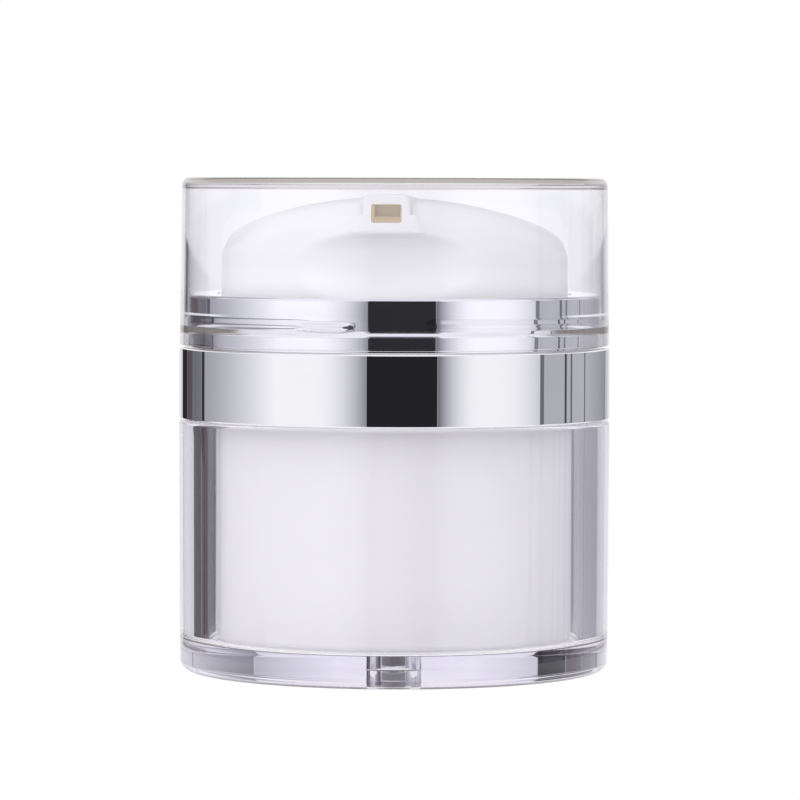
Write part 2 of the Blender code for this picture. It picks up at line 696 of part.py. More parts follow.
def make_pump_piston(parts, material):
    """The sliding seal on the stem, with a lip at each end that wipes the chamber."""
    outer = CHAMBER_RADIUS - FIT
    waist = outer - PISTON_LIP
    corners = [
        (outer, PISTON_TOP),
        (outer, PISTON_TOP - PISTON_LIP_HEIGHT),
        (waist, PISTON_TOP - PISTON_LIP_HEIGHT - PISTON_LIP),
        (waist, PISTON_BASE + PISTON_LIP_HEIGHT + PISTON_LIP),
        (outer, PISTON_BASE + PISTON_LIP_HEIGHT),
        (outer, PISTON_BASE),
        (STEM_CLEAR_RADIUS, PISTON_BASE),
        (STEM_CLEAR_RADIUS, PISTON_TOP),
    ]
    return turned("pump_piston", corners, PUMP_STEPS, parts, material)


def make_stem(parts, cutters, material):
    """The hollow stem from the pump piston up into the nozzle core, with ports that the piston covers."""
    shoulder = STEM_RADIUS + STEM_SHOULDER_REACH
    corners = [
        (STEM_RADIUS, core_heights()["stem_top"]),
        (STEM_RADIUS, STEM_SHOULDER_TOP),
        (shoulder, STEM_SHOULDER_TOP),
        (shoulder, STEM_SHOULDER_BASE),
        (STEM_RADIUS, STEM_SHOULDER_BASE),
        (STEM_RADIUS, TIP_TOP + FIT),
        (STEM_BORE_RADIUS, TIP_TOP + FIT),
        (STEM_BORE_RADIUS, core_heights()["stem_top"]),
    ]
    stem = turned("stem", corners, SMALL_STEPS, parts, material)
    port_centre = TIP_TOP + TIP_SHANK + FIT + STEM_PORT_HEIGHT / 2
    size = (STEM_PORT_WIDTH, 2 * STEM_RADIUS + CUT_OVERRUN, STEM_PORT_HEIGHT)
    port = block("stem_ports", size, Matrix.Translation((0, 0, port_centre)), cutters)
    joined(stem, port, "DIFFERENCE")
    return stem


def make_stem_tip(parts, material):
    """The plug in the stem's foot, whose head carries the pump piston."""
    head = STEM_RADIUS + TIP_HEAD_REACH
    shank = STEM_BORE_RADIUS - FIT
    corners = [
        (0, TIP_TOP + TIP_SHANK),
        (shank, TIP_TOP + TIP_SHANK),
        (shank, TIP_TOP),
        (head, TIP_TOP),
        (head, TIP_TOP - TIP_HEAD / 2),
        (shank, TIP_BASE),
        (0, TIP_BASE),
    ]
    return turned("stem_tip", corners, SMALL_STEPS, parts, material)


def make_stem_guide(parts, material):
    """The cap on the cylinder's rim that guides the stem and stops its shoulder."""
    skirt_bore = CYLINDER_RADIUS + FIT
    collar = STEM_CLEAR_RADIUS + GUIDE_COLLAR_WALL
    corners = [
        (collar, GUIDE_LID_TOP + GUIDE_COLLAR_RISE),
        (collar, GUIDE_LID_TOP),
        (GUIDE_RADIUS, GUIDE_LID_TOP, GUIDE_LID / 2),
        (GUIDE_RADIUS, CYLINDER_TOP - GUIDE_SKIRT_DEPTH),
        (skirt_bore, CYLINDER_TOP - GUIDE_SKIRT_DEPTH),
        (skirt_bore, GUIDE_LID_BASE),
        (STEM_CLEAR_RADIUS, GUIDE_LID_BASE),
        (STEM_CLEAR_RADIUS, GUIDE_LID_TOP + GUIDE_COLLAR_RISE),
    ]
    return turned("stem_guide", corners, PUMP_STEPS, parts, material)


def core_heights():
    """The heights of the nozzle core, which fills the room under the head's roof."""
    under_roof = min(crown_height_at(0, CORE_BOSS_RADIUS), crown_height_at(CORE_BOSS_RADIUS, 0))
    top = under_roof - HEAD_ROOF - FIT
    duct_base = top - DUCT_HEIGHT
    socket_base = duct_base - CORE_SOCKET_DEPTH
    return {
        "top": top,
        "duct_base": duct_base,
        "stem_top": duct_base - FIT,
        "flange_top": duct_base,
        "flange_base": duct_base - CORE_FLANGE,
        "base": socket_base,
    }


def duct_line():
    """The duct's middle line: its height at the axis, its height at the front, and its front end."""
    heights = core_heights()
    front = -(HEAD_RADIUS + SCOOP_STANDOFF - SCOOP_REACH - HEAD_WALL - FIT)
    front_top = crown_height_at(DUCT_WIDTH / 2, front) - HEAD_ROOF - FIT
    return heights["top"] - DUCT_HEIGHT / 2, front_top - DUCT_HEIGHT / 2, front


def sloped(rear, front, size, name, home):
    """A box whose middle line runs from one (y, z) place to another, used as a tool."""
    run = math.hypot(front[0] - rear[0], front[1] - rear[1])
    slope = math.atan2(front[1] - rear[1], rear[0] - front[0])
    middle = Matrix.Translation((0, (rear[0] + front[0]) / 2, (rear[1] + front[1]) / 2))
    return block(name, (size[0], run, size[1]), middle @ Matrix.Rotation(-slope, 4, "X"), home)


def make_nozzle_core(parts, cutters, material):
    """The insert under the crown: a socket on the stem, a seat for the spring and a duct to the orifice."""
    heights = core_heights()
    axis_height, front_height, front = duct_line()
    corners = [
        (0, heights["top"]),
        (CORE_BOSS_RADIUS, heights["top"]),
        (CORE_BOSS_RADIUS, heights["flange_top"]),
        (CORE_FLANGE_RADIUS, heights["flange_top"]),
        (CORE_FLANGE_RADIUS, heights["flange_base"]),
        (CORE_BOSS_RADIUS, heights["flange_base"]),
        (CORE_BOSS_RADIUS, heights["base"]),
        (STEM_CLEAR_RADIUS, heights["base"]),
        (STEM_CLEAR_RADIUS, heights["duct_base"]),
        (STEM_BORE_RADIUS, heights["duct_base"]),
        (STEM_BORE_RADIUS, axis_height),
        (0, axis_height),
    ]
    core = turned("nozzle_core", corners, PUMP_STEPS, parts, material)
    rise = (front_height - axis_height) / abs(front)
    in_boss = (STEM_BORE_RADIUS + CORE_BOSS_RADIUS) / 2
    rear = (-in_boss, axis_height + rise * in_boss)
    duct = sloped(rear, (front, front_height), (DUCT_WIDTH, DUCT_HEIGHT), "duct", cutters)
    joined(core, duct, "UNION")
    channel_size = (DUCT_WIDTH - 2 * DUCT_WALL, DUCT_HEIGHT - 2 * DUCT_WALL)
    mouth = (front - CUT_OVERRUN, front_height + rise * CUT_OVERRUN)
    channel = sloped((STEM_BORE_RADIUS / 2, axis_height), mouth, channel_size, "duct_channel", cutters)
    joined(core, channel, "DIFFERENCE")
    return core


def can_rings(radius, top, edge):
    """Corners across a can's flat top, out to its rounded edge."""
    shares = [(radius * share, top) for share in HEAD_RING_SHARES]
    return [(0, top)] + shares + [(radius - NOSE_ROUND, top), (radius, top, edge)]


def scoop_tool(name, growth, cutters):
    """The finger scoop's hollow, flattened towards its ceiling. Growth adds the wall behind it."""
    mesh = bpy.data.meshes.new(name)
    shape = bmesh.new()
    bmesh.ops.create_uvsphere(shape, u_segments=32, v_segments=20, radius=1)
    for vert in shape.verts:
        out = math.hypot(vert.co.x, vert.co.y)
        if vert.co.z > 0 and out > WELD_DISTANCE:
            swell = out ** (SCOOP_FLATNESS - 1)
            vert.co = (vert.co.x * swell, vert.co.y * swell, vert.co.z**SCOOP_FLATNESS)
        rise = SCOOP_CENTRE_DROP if vert.co.z > 0 else SCOOP_HALF_HEIGHT
        vert.co.x *= SCOOP_HALF_WIDTH + growth
        vert.co.y *= SCOOP_REACH + growth
        vert.co.z *= rise + growth
        vert.co += Vector((0, -HEAD_RADIUS - SCOOP_STANDOFF, SPOUT_BASE - SCOOP_CENTRE_DROP))
    bmesh.ops.recalc_face_normals(shape, faces=shape.faces[:])
    shape.to_mesh(mesh)
    shape.free()
    return as_tool(placed(name, mesh, cutters))


def spout_tool(cutters):
    """The nozzle's ridge: a wedge with a flat front face that spreads and sinks into the crown behind."""
    mesh = bpy.data.meshes.new("spout")
    shape = bmesh.new()
    bmesh.ops.create_cube(shape, size=2)
    face = -HEAD_RADIUS + SPOUT_INSET
    for vert in shape.verts:
        width = SPOUT_TOP_WIDTH if vert.co.z > 0 else SPOUT_BASE_WIDTH
        height = RIDGE_HEIGHT if vert.co.z > 0 else SPOUT_BASE
        behind = vert.co.y > 0
        x = vert.co.x * (width / 2 + (SPOUT_SPREAD if behind else 0))
        y = face + (SPOUT_LENGTH if behind else 0)
        z = height - (SPOUT_FALL if behind and vert.co.z > 0 else 0)
        vert.co = (x, y, z)
    shape.to_mesh(mesh)
    shape.free()
    return as_tool(placed("spout", mesh, cutters))


def head_cavity(cutters):
    """The room under the head, less the skin behind the scoop and the solid nose round the nozzle."""
    ceiling = CROWN_HEIGHT - HEAD_ROOF
    corners = can_rings(HEAD_BORE_RADIUS, ceiling, HEAD_EDGE)
    corners += [
        (HEAD_BORE_RADIUS, COLLAR_HEIGHT),
        (HEAD_BORE_RADIUS, HEAD_BASE - CUT_OVERRUN),
        (0, HEAD_BASE - CUT_OVERRUN),
    ]
    cavity = as_tool(turned("head_cavity", corners, FINE_STEPS, cutters))
    lean(cavity, ceiling - HEAD_EDGE, HEAD_BORE_RADIUS)
    joined(cavity, scoop_tool("scoop_skin", HEAD_WALL, cutters), "DIFFERENCE")
    nose_back = duct_line()[2] - FIT
    size = (SPOUT_BASE_WIDTH, HEAD_RADIUS + nose_back, RIDGE_HEIGHT - SPOUT_BASE)
    place = Matrix.Translation((0, (nose_back - HEAD_RADIUS) / 2, (RIDGE_HEIGHT + SPOUT_BASE) / 2))
    joined(cavity, block("nose", size, place, cutters), "DIFFERENCE")
    return cavity


def make_press_head(parts, cutters, material):
    """The white head that is pressed: an arched crown with a nozzle ridge over a finger scoop."""
    corners = can_rings(HEAD_RADIUS, CROWN_HEIGHT, HEAD_EDGE)
    corners += [
        (HEAD_RADIUS, COLLAR_HEIGHT),
        (HEAD_RADIUS, HEAD_FLANGE_TOP),
        (HEAD_FLANGE_RADIUS, HEAD_FLANGE_TOP),
        (HEAD_FLANGE_RADIUS, HEAD_BASE),
        (0, HEAD_BASE),
    ]
    head = turned("press_head", corners, FINE_STEPS, parts, material)
    lean(head, CROWN_HEIGHT - HEAD_EDGE, HEAD_RADIUS)
    joined(head, spout_tool(cutters), "UNION")
    joined(head, head_cavity(cutters), "DIFFERENCE")
    joined(head, scoop_tool("finger_scoop", 0, cutters), "DIFFERENCE")
    front_height = duct_line()[1]
    nose_back = duct_line()[2]
    mouth = -HEAD_RADIUS + SPOUT_INSET
    rise = (ORIFICE_CENTRE - front_height) / (nose_back - mouth)
    outside = (mouth - CUT_OVERRUN, ORIFICE_CENTRE + rise * CUT_OVERRUN)
    size = (ORIFICE_WIDTH, ORIFICE_HEIGHT)
    passage = sloped((nose_back, front_height), outside, size, "orifice_passage", cutters)
    joined(head, passage, "DIFFERENCE")
    return head


def spring_points(base, top):
    """The wire's middle line: even turns in the middle, closer ones at both ends."""
    height = top - base - SPRING_WIRE
    count = SPRING_TURNS * SPRING_POINTS_PER_TURN
    points = []
    for index in range(count + 1):
        share = index / count
        swing = SPRING_END_SQUEEZE * math.sin(2 * math.pi * share) / (2 * math.pi)
        angle = 2 * math.pi * SPRING_TURNS * share
        z = base + SPRING_WIRE / 2 + height * (share - swing)
        points.append(Vector((SPRING_RADIUS * math.cos(angle), SPRING_RADIUS * math.sin(angle), z)))
    return points


def least_self_gap(points):
    """The least distance between the surfaces of two turns of the wire."""
    apart = SPRING_POINTS_PER_TURN // 2
    nearest = min(
        (one - other).length
        for index, one in enumerate(points)
        for other in points[index + apart :]
    )
    return nearest - SPRING_WIRE


def make_return_spring(parts, material):
    """The coil round the cylinder that lifts the head again."""
    base = CYLINDER_FLANGE_TOP + FIT
    points = spring_points(base, core_heights()["flange_base"] - FIT)
    print(f"return_spring least gap between turns: {least_self_gap(points) * 1000:.2f} mm")
    curve = bpy.data.curves.new("return_spring", "CURVE")
    curve.dimensions = "3D"
    curve.bevel_depth = SPRING_WIRE / 2
    curve.bevel_resolution = SPRING_BEVEL_RESOLUTION
    curve.use_fill_caps = True
    wire = curve.splines.new("POLY")
    wire.points.add(len(points) - 1)
    for spot, point in zip(wire.points, points):
        spot.co = (*point, 1)
    curve.materials.append(material)
    spring = bpy.data.objects.new("return_spring", curve)
    parts.objects.link(spring)
    return spring


def carry(name, height, pieces, home, parent=None):
    """An empty on the axis that carries pieces which move together."""
    empty = bpy.data.objects.new(name, None)
    empty.location = (0, 0, height)
    empty.empty_display_size = CUP_BORE_RADIUS
    home.objects.link(empty)
    bpy.context.view_layer.update()
    for piece in pieces:
        piece.parent = empty
        piece.matrix_parent_inverse = empty.matrix_world.inverted()
    if parent:
        empty.parent = parent
        empty.matrix_parent_inverse = parent.matrix_world.inverted()
    return empty


def main():
    """Builds the jar, piece by piece, and groups what moves together."""
    for leftover in list(bpy.data.objects):
        bpy.data.objects.remove(leftover)
    parts = collection("airless_jar")
    cutters = collection("cutters")

    clear_cap = plastic("clear_cap_plastic", CLEAR_TINT, 0.03, clearness=1.0)
    clear_jar = plastic("clear_jar_plastic", CLEAR_TINT, 0.03, clearness=1.0)
    head_white = plastic("white_head_plastic", HEAD_WHITE, 0.30)
    cup_white = plastic("white_cup_plastic", CUP_WHITE, 0.35)
    core_white = plastic("white_core_plastic", NATURAL_WHITE, 0.40)
    ring_white = plastic("white_ring_plastic", NATURAL_WHITE, 0.40)
    plate_white = plastic("white_plate_plastic", NATURAL_WHITE, 0.40)
    soft_white = plastic("soft_white_plastic", NATURAL_WHITE, 0.50)
    chrome = plastic("chrome_plating", CHROME, 0.05, metallic=1.0)
    steel = plastic("bright_steel", STEEL, 0.20, metallic=1.0)
    seal = plastic("seal_foam", SEAL_GREY, 0.60)

    make_outer_jar(parts, clear_jar)
    make_inner_cup(parts, cup_white)
    follower = make_follower_piston(parts, soft_white)
    make_plate_gasket(parts, seal)
    make_pump_plate(parts, plate_white)
    make_closure_ring(parts, ring_white)
    make_collar_sleeve(parts, chrome)
    cap = make_overcap(parts, clear_cap)
    make_pump_cylinder(parts, plate_white)
    ball = make_intake_ball(parts, steel)
    make_valve_cage(parts, cutters, soft_white)
    piston = make_pump_piston(parts, soft_white)
    stem = make_stem(parts, cutters, core_white)
    tip = make_stem_tip(parts, core_white)
    make_stem_guide(parts, plate_white)
    core = make_nozzle_core(parts, cutters, core_white)
    head = make_press_head(parts, cutters, head_white)
    make_return_spring(parts, steel)

    carry("overcap_lift", CAP_BASE, [cap], parts)
    carry("follower_rise", FOLLOWER_BASE, [follower], parts)
    carry("ball_lift", BALL_CENTRE, [ball], parts)
    press = carry("head_press", HEAD_BASE, [stem, tip], parts)
    carry("head_turn", COLLAR_HEIGHT, [head, core], parts, press)
    carry("piston_slip", PISTON_BASE, [piston], parts, press)


main()
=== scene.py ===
"""Looks of the airless jar: its clear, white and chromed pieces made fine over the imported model."""

import math
from types import SimpleNamespace

import bmesh
import bpy
import numpy as np
from mathutils import Matrix, Vector


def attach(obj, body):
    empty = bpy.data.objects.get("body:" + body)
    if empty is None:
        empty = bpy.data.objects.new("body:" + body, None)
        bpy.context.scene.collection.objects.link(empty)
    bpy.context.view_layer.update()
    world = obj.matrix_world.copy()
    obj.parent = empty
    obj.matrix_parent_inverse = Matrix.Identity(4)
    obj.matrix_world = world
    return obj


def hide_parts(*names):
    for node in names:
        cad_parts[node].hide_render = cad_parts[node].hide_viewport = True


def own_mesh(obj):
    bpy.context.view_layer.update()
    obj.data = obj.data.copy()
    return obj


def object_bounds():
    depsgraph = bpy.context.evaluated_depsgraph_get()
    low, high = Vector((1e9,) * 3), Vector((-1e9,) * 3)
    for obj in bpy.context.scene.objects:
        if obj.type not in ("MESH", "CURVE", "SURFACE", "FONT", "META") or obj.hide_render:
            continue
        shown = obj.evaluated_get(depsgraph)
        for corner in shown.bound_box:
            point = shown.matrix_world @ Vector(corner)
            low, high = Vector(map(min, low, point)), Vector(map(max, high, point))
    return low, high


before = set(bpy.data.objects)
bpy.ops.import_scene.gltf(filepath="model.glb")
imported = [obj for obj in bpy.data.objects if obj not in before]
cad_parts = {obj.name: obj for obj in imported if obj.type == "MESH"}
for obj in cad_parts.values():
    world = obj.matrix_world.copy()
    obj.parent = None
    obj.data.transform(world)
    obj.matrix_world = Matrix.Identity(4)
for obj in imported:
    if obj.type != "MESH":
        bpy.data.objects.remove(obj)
CAD_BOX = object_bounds()
MM = 0.001

# Whole jar in mm, from the frame
JAR_RADIUS = round(CAD_BOX[1][0] / MM, 3)
JAR_HEIGHT = round(CAD_BOX[1][2] / MM, 3)

# Camera, as read from the photograph
CAMERA_LENS = 215
CAMERA_SENSOR = 36
CAMERA_CLIP = 0.01
CAMERA_DISTANCE = 632 * MM
CAMERA_HEIGHT = 65 * MM
CAMERA_AIM_HEIGHT = 35.6 * MM
CAMERA_ASIDE = 0.75 * MM
CAMERA_TURN = math.radians(2.6)
CAMERA_ROLL = math.radians(0.17)

# Facets of the turned pieces, round the axis and in their rounded corners
FINE_STEPS = 192
PLAIN_STEPS = 128
COLLAR_STEPS = 288
ARC_SEGMENTS = 5
JAR_ARC_SEGMENTS = 6
CUP_ARC_SEGMENTS = 4
CRISP_ANGLE = math.radians(32)
WELD = 0.000001


class Level:
    """A shader value that takes part in sums: each sum on it adds one Math node."""

    def __init__(self, recipe, socket):
        self.recipe = recipe
        self.socket = socket

    def sum(self, operation, *others):
        return self.recipe.level("ShaderNodeMath", {"operation": operation}, [self, *others])

    def __add__(self, other):
        return self.sum("ADD", other)

    __radd__ = __add__

    def __mul__(self, other):
        return self.sum("MULTIPLY", other)

    __rmul__ = __mul__

    def __sub__(self, other):
        return self.sum("SUBTRACT", other)

    def __rsub__(self, other):
        return self.recipe.level("ShaderNodeMath", {"operation": "SUBTRACT"}, [other, self])

    def __pow__(self, other):
        return self.sum("POWER", other)

    def most(self, other):
        return self.sum("MAXIMUM", other)

    def least(self, other):
        return self.sum("MINIMUM", other)

    def size(self):
        return self.sum("ABSOLUTE")

    def step(self, low, high):
        """0 below low and 1 above high, with a smooth rise between."""
        settings = {"interpolation_type": "SMOOTHSTEP"}
        return self.recipe.level("ShaderNodeMapRange", settings, [self, low, high, 0.0, 1.0])

    def between(self, low, high, soft):
        """1 from low to high and 0 outside, with an edge of this softness at both."""
        return self.step(low - soft, low + soft) * (1 - self.step(high - soft, high + soft))

    def share(self, start, stop):
        """0 at start and 1 at stop, even between them."""
        return self.recipe.level("ShaderNodeMapRange", None, [self, start, stop, 0.0, 1.0])


class Recipe:
    """The nodes of one finish, or of the world."""

    def __init__(self, holder):
        holder.use_nodes = True
        self.tree = holder.node_tree
        self.tree.nodes.clear()

    def node(self, kind, settings=None, values=None):
        """A node of this kind. Its settings come first, then its sockets by name or in order."""
        made = self.tree.nodes.new(kind)
        for key, value in (settings or {}).items():
            setattr(made, key, value)
        named = values.items() if isinstance(values, dict) else enumerate(values or [])
        for key, value in named:
            socket = made.inputs[key]
            if isinstance(value, Level):
                self.tree.links.new(value.socket, socket)
            elif isinstance(value, bpy.types.NodeSocket):
                self.tree.links.new(value, socket)
            else:
                socket.default_value = value
        return made

    def level(self, kind, settings=None, values=None):
        return Level(self, self.node(kind, settings, values).outputs[0])

    def place(self):
        """Where a point of the piece is, in metres."""
        return self.node("ShaderNodeTexCoord").outputs["Object"]

    def height(self):
        return Level(self, self.node("ShaderNodeSeparateXYZ", None, {0: self.place()}).outputs["Z"])

    def noise(self, scale, detail, stretch=None):
        """Random cloud, with this many features to the metre."""
        place = self.place()
        if stretch:
            place = self.node("ShaderNodeMapping", None, {"Vector": place, "Scale": stretch}).outputs[0]
        values = {"Vector": place, "Scale": scale, "Detail": detail}
        return self.level("ShaderNodeTexNoise", None, values)

    def blend_colour(self, factor, first, second):
        """The first colour where the factor is 0, and the second where it is 1."""
        mix = self.node("ShaderNodeMix", {"data_type": "RGBA"}, {0: factor, 6: first, 7: second})
        return mix.outputs[2]

    def bump(self, height, depth):
        values = {"Height": height, "Distance": depth, "Strength": 1.0}
        return self.node("ShaderNodeBump", None, values).outputs[0]

    def finish(self, surface, volume=None):
        out = self.node("ShaderNodeOutputMaterial")
        self.tree.links.new(surface, out.inputs["Surface"])
        if volume:
            self.tree.links.new(volume, out.inputs["Volume"])


def finish_named(name):
    material = bpy.data.materials.new(name)
    return material, Recipe(material)


PLASTIC_IOR = 1.49

# In the clear pieces a ray goes straight on once it is mirrored this often, and once less in the cap's top
MIRRORINGS_MOST = 3.4, 3.6
CAP_TOP_HEIGHTS = 0.0642, 0.0644


def clear_plastic(name, tint, absorption, depth_tint, waviness):
    """Polished clear plastic: bends light, tints it over depth, and lets lamps through to what it covers."""
    material, recipe = finish_named(name)
    sink = recipe.noise(scale=140, detail=1.0)
    haze = recipe.noise(scale=2600, detail=3.0)
    gloss = recipe.node(
        "ShaderNodeBsdfPrincipled",
        None,
        {
            "Base Color": (*tint, 1),
            "Roughness": haze * 0.012,
            "IOR": PLASTIC_IOR,
            "Transmission Weight": 1.0,
            "Normal": recipe.bump(sink, waviness),
        },
    )
    path = recipe.node("ShaderNodeLightPath")
    shadow = Level(recipe, path.outputs["Is Shadow Ray"])
    diffuse = Level(recipe, path.outputs["Is Diffuse Ray"])
    mirrored = Level(recipe, path.outputs["Glossy Depth"])
    trapped = (mirrored + recipe.height().step(*CAP_TOP_HEIGHTS)).step(*MIRRORINGS_MOST)
    open_way = recipe.node("ShaderNodeBsdfTransparent", None, {"Color": (*tint, 1)})
    values = [shadow.most(diffuse).most(trapped), gloss.outputs[0], open_way.outputs[0]]
    mix = recipe.node("ShaderNodeMixShader", None, values)
    values = {"Color": (*depth_tint, 1), "Density": absorption}
    volume = recipe.node("ShaderNodeVolumeAbsorption", None, values)
    recipe.finish(mix.outputs[0], volume.outputs[0])
    return material


# Heights between which the painted light on the press head's foot fades out: below them its colour is
# painted paler, as if lit from below
PAINTED_LIGHT_FOOT_HEIGHTS = 0.0505, 0.0545


def moulded_plastic(name, light, dark, roughness, glow=0.0, foot=None):
    """Moulded plastic: clouded colour, fine grain and slight sink marks, with a painted glow or a foot
    painted paler as painted light from below.
    """
    material, recipe = finish_named(name)
    cloud = recipe.noise(scale=90, detail=3.0)
    colour = recipe.blend_colour(cloud.step(0.35, 0.7), (*light, 1), (*dark, 1))
    # Painted light: low on the piece the colour turns to the paler foot colour, as if more light fell there
    # from below
    if foot:
        colour = recipe.blend_colour(recipe.height().step(*PAINTED_LIGHT_FOOT_HEIGHTS), (*foot, 1), colour)
    fine = recipe.noise(scale=2200, detail=2.0)
    sink = recipe.noise(scale=160, detail=1.0)
    grain = recipe.noise(scale=300, detail=2.0)
    shader = recipe.node(
        "ShaderNodeBsdfPrincipled",
        None,
        {
            "Base Color": colour,
            "Roughness": grain * 0.1 + (roughness - 0.05),
            "IOR": PLASTIC_IOR,
            # The emission is painted light: a finish with a glow lights itself though it is no lamp
            "Emission Color": colour,
            "Emission Strength": glow,
            "Normal": recipe.bump(fine * 0.000002 + sink * 0.00001, 1.0),
        },
    )
    recipe.finish(shader.outputs[0])
    return material


def metal(name, light, dark, roughness, streaks, wave):
    """Bright metal: streaks along one way in its roughness and a slight wave in its face."""
    material, recipe = finish_named(name)
    lines = recipe.noise(scale=900, detail=3.0, stretch=streaks)
    stain = recipe.noise(scale=220, detail=3.0).step(0.45, 0.8)
    ripple = recipe.noise(scale=120, detail=1.0)
    shader = recipe.node(
        "ShaderNodeBsdfPrincipled",
        None,
        {
            "Base Color": recipe.blend_colour(stain, (*light, 1), (*dark, 1)),
            "Metallic": 1.0,
            "Roughness": lines * roughness + roughness * 0.5,
            "Normal": recipe.bump(ripple, wave),
        },
    )
    recipe.finish(shader.outputs[0])
    return material


def seal_foam():
    """Closed-cell foam sheet."""
    material, recipe = finish_named("closed_cell_foam")
    cells = recipe.level("ShaderNodeTexVoronoi", None, {"Vector": recipe.place(), "Scale": 5200})
    colour = recipe.blend_colour(cells.step(0.1, 0.6), (0.50, 0.51, 0.52, 1), (0.68, 0.69, 0.70, 1))
    shader = recipe.node(
        "ShaderNodeBsdfPrincipled",
        None,
        {"Base Color": colour, "Roughness": cells * 0.2 + 0.6, "Normal": recipe.bump(cells, 0.00003)},
    )
    recipe.finish(shader.outputs[0])
    return material


def make_finishes():
    """Every finish of the jar, with its colours as (red, green, blue)."""
    return {
        "cap": clear_plastic("clear_cap_plastic", (0.995, 0.993, 1.0), 9, (0.56, 0.44, 0.48), 0.000001),
        "jar": clear_plastic("clear_jar_plastic", (0.972, 0.968, 0.985), 12, (0.72, 0.67, 0.82), 0.000001),
        "head": moulded_plastic(
            "white_head_plastic", (0.775, 0.77, 0.795), (0.762, 0.757, 0.785), 0.32,
            # The foot colour is painted light: the head is painted paler towards its bottom, as if lit from
            # below
            foot=(0.89, 0.885, 0.905),
        ),
        "cup": moulded_plastic("white_cup_plastic", (0.812, 0.805, 0.80), (0.80, 0.793, 0.79), 0.30),
        "core": moulded_plastic("natural_core_plastic", (0.74, 0.71, 0.66), (0.70, 0.67, 0.62), 0.45),
        # The insert's glow is painted light: it lights the shaded depth of the spout's mouth from within
        "insert": moulded_plastic(
            "mouth_insert_plastic", (0.31, 0.262, 0.205), (0.295, 0.25, 0.198), 0.4, glow=1.2
        ),
        "plain": moulded_plastic("natural_plastic", (0.80, 0.80, 0.78), (0.76, 0.76, 0.74), 0.42),
        "soft": moulded_plastic("waxy_soft_plastic", (0.82, 0.82, 0.80), (0.77, 0.77, 0.75), 0.52),
        "chrome": metal(
            "chrome_plating", (0.905, 0.90, 0.945), (0.89, 0.885, 0.93), 0.01, (1, 1, 0.05), 0.0000015
        ),
        "steel": metal("drawn_steel", (0.62, 0.62, 0.63), (0.54, 0.54, 0.55), 0.22, (1, 1, 12), 0.000004),
        "foam": seal_foam(),
    }


def as_piece(name, shape, material, body, slot, *nodes):
    """A finished piece of this mesh that rides on a body and stands for the nodes."""
    mesh = bpy.data.meshes.new(name)
    shape.to_mesh(mesh)
    shape.free()
    mesh.shade_smooth()
    mesh.set_sharp_from_angle(angle=CRISP_ANGLE)
    mesh.materials.append(material)
    piece = bpy.data.objects.new(name, mesh)
    bpy.context.scene.collection.objects.link(piece)
    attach(piece, body)
    if nodes:
        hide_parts(*nodes)
    return piece


def shade_evenly(piece):
    """Lets each broad face keep its own normal beside a small rounding."""
    weighted = piece.modifiers.new("even_shading", "WEIGHTED_NORMAL")
    weighted.keep_sharp = True


def turned(corners, steps, segments=ARC_SEGMENTS):
    """A shape spun about Z from (radius, height, rounding) corners in mm."""
    shape = bmesh.new()
    verts = [shape.verts.new((radius * MM, 0, height * MM)) for radius, height, _ in corners]
    for pair in zip(verts, verts[1:]):
        shape.edges.new(pair)
    if corners[0][0] > 0:
        shape.edges.new((verts[-1], verts[0]))
    for vert, (_, _, rounding) in zip(verts, corners):
        if rounding:
            bmesh.ops.bevel(
                shape, geom=[vert], offset=rounding * MM, offset_type="OFFSET", affect="VERTICES",
                segments=segments, profile=0.5, material=-1,
            )
    bmesh.ops.spin(
        shape, geom=shape.verts[:] + shape.edges[:], cent=(0, 0, 0), axis=(0, 0, 1),
        angle=2 * math.pi, steps=steps, use_merge=True,
    )
    bmesh.ops.remove_doubles(shape, verts=shape.verts[:], dist=WELD)
    bmesh.ops.recalc_face_normals(shape, faces=shape.faces[:])
    return shape


# Clear cap, in mm
CAP_FOOT = 43.0
CAP_FOOT_RADIUS = 28.4
CAP_TOP_RADIUS = 28.1
CAP_CEILING = 63.65
CAP_CEILING_RADIUS = 27.3
CAP_BORE_FOOT = 46.9
CAP_BORE_RADIUS = 27.42
CAP_RELIEF_FOOT = 45.52
CAP_RELIEF_RADIUS = 27.52
CAP_STEP = 44.84
CAP_STEP_RADIUS = 27.94
CAP_MOUTH_RADIUS = 28.06
GATE_FOOT = 63.35
GATE_FOOT_RADIUS = 0.8
GATE_RADIUS = 1.1


def make_overcap(material):
    """The clear cap: flat top, moulding gate under it, drafted wall and a step inside its skirt."""
    corners = [
        (0, JAR_HEIGHT, 0), (CAP_TOP_RADIUS, JAR_HEIGHT, 1.0),
        (CAP_FOOT_RADIUS, CAP_FOOT, 0.15), (CAP_MOUTH_RADIUS, CAP_FOOT, 0.1),
        (CAP_STEP_RADIUS, CAP_STEP, 0.2), (CAP_RELIEF_RADIUS, CAP_RELIEF_FOOT, 0.05),
        (CAP_BORE_RADIUS, CAP_BORE_FOOT, 0.5), (CAP_CEILING_RADIUS, CAP_CEILING, 0.2),
        (GATE_RADIUS, CAP_CEILING, 0.1), (GATE_FOOT_RADIUS, GATE_FOOT, 0.12), (0, GATE_FOOT, 0),
    ]
    shape = turned(corners, FINE_STEPS)
    shade_evenly(as_piece("clear_overcap", shape, material, "cap", "clear_cap", "overcap"))


# Clear jar, in mm
JAR_NECK_TOP = 35.6
JAR_NECK_RADIUS = 27.3
JAR_LEDGE = 33.2
JAR_BORE_RADIUS = 24.5
JAR_FLOOR = 4.0
JAR_UNDERSIDE = 0.8
JAR_UNDERSIDE_RADIUS = 24.35
JAR_WALL_FOOT = 1.15
JAR_WALL_FOOT_RADIUS = 28.36
FOOT_EDGE = 0.2
FOOT_EDGE_RADIUS = 27.9
FOOT_RING_RADIUS = 27.2
FOOT_RING_BORE_RADIUS = 25.15
VENT_RADIUS = 2.5


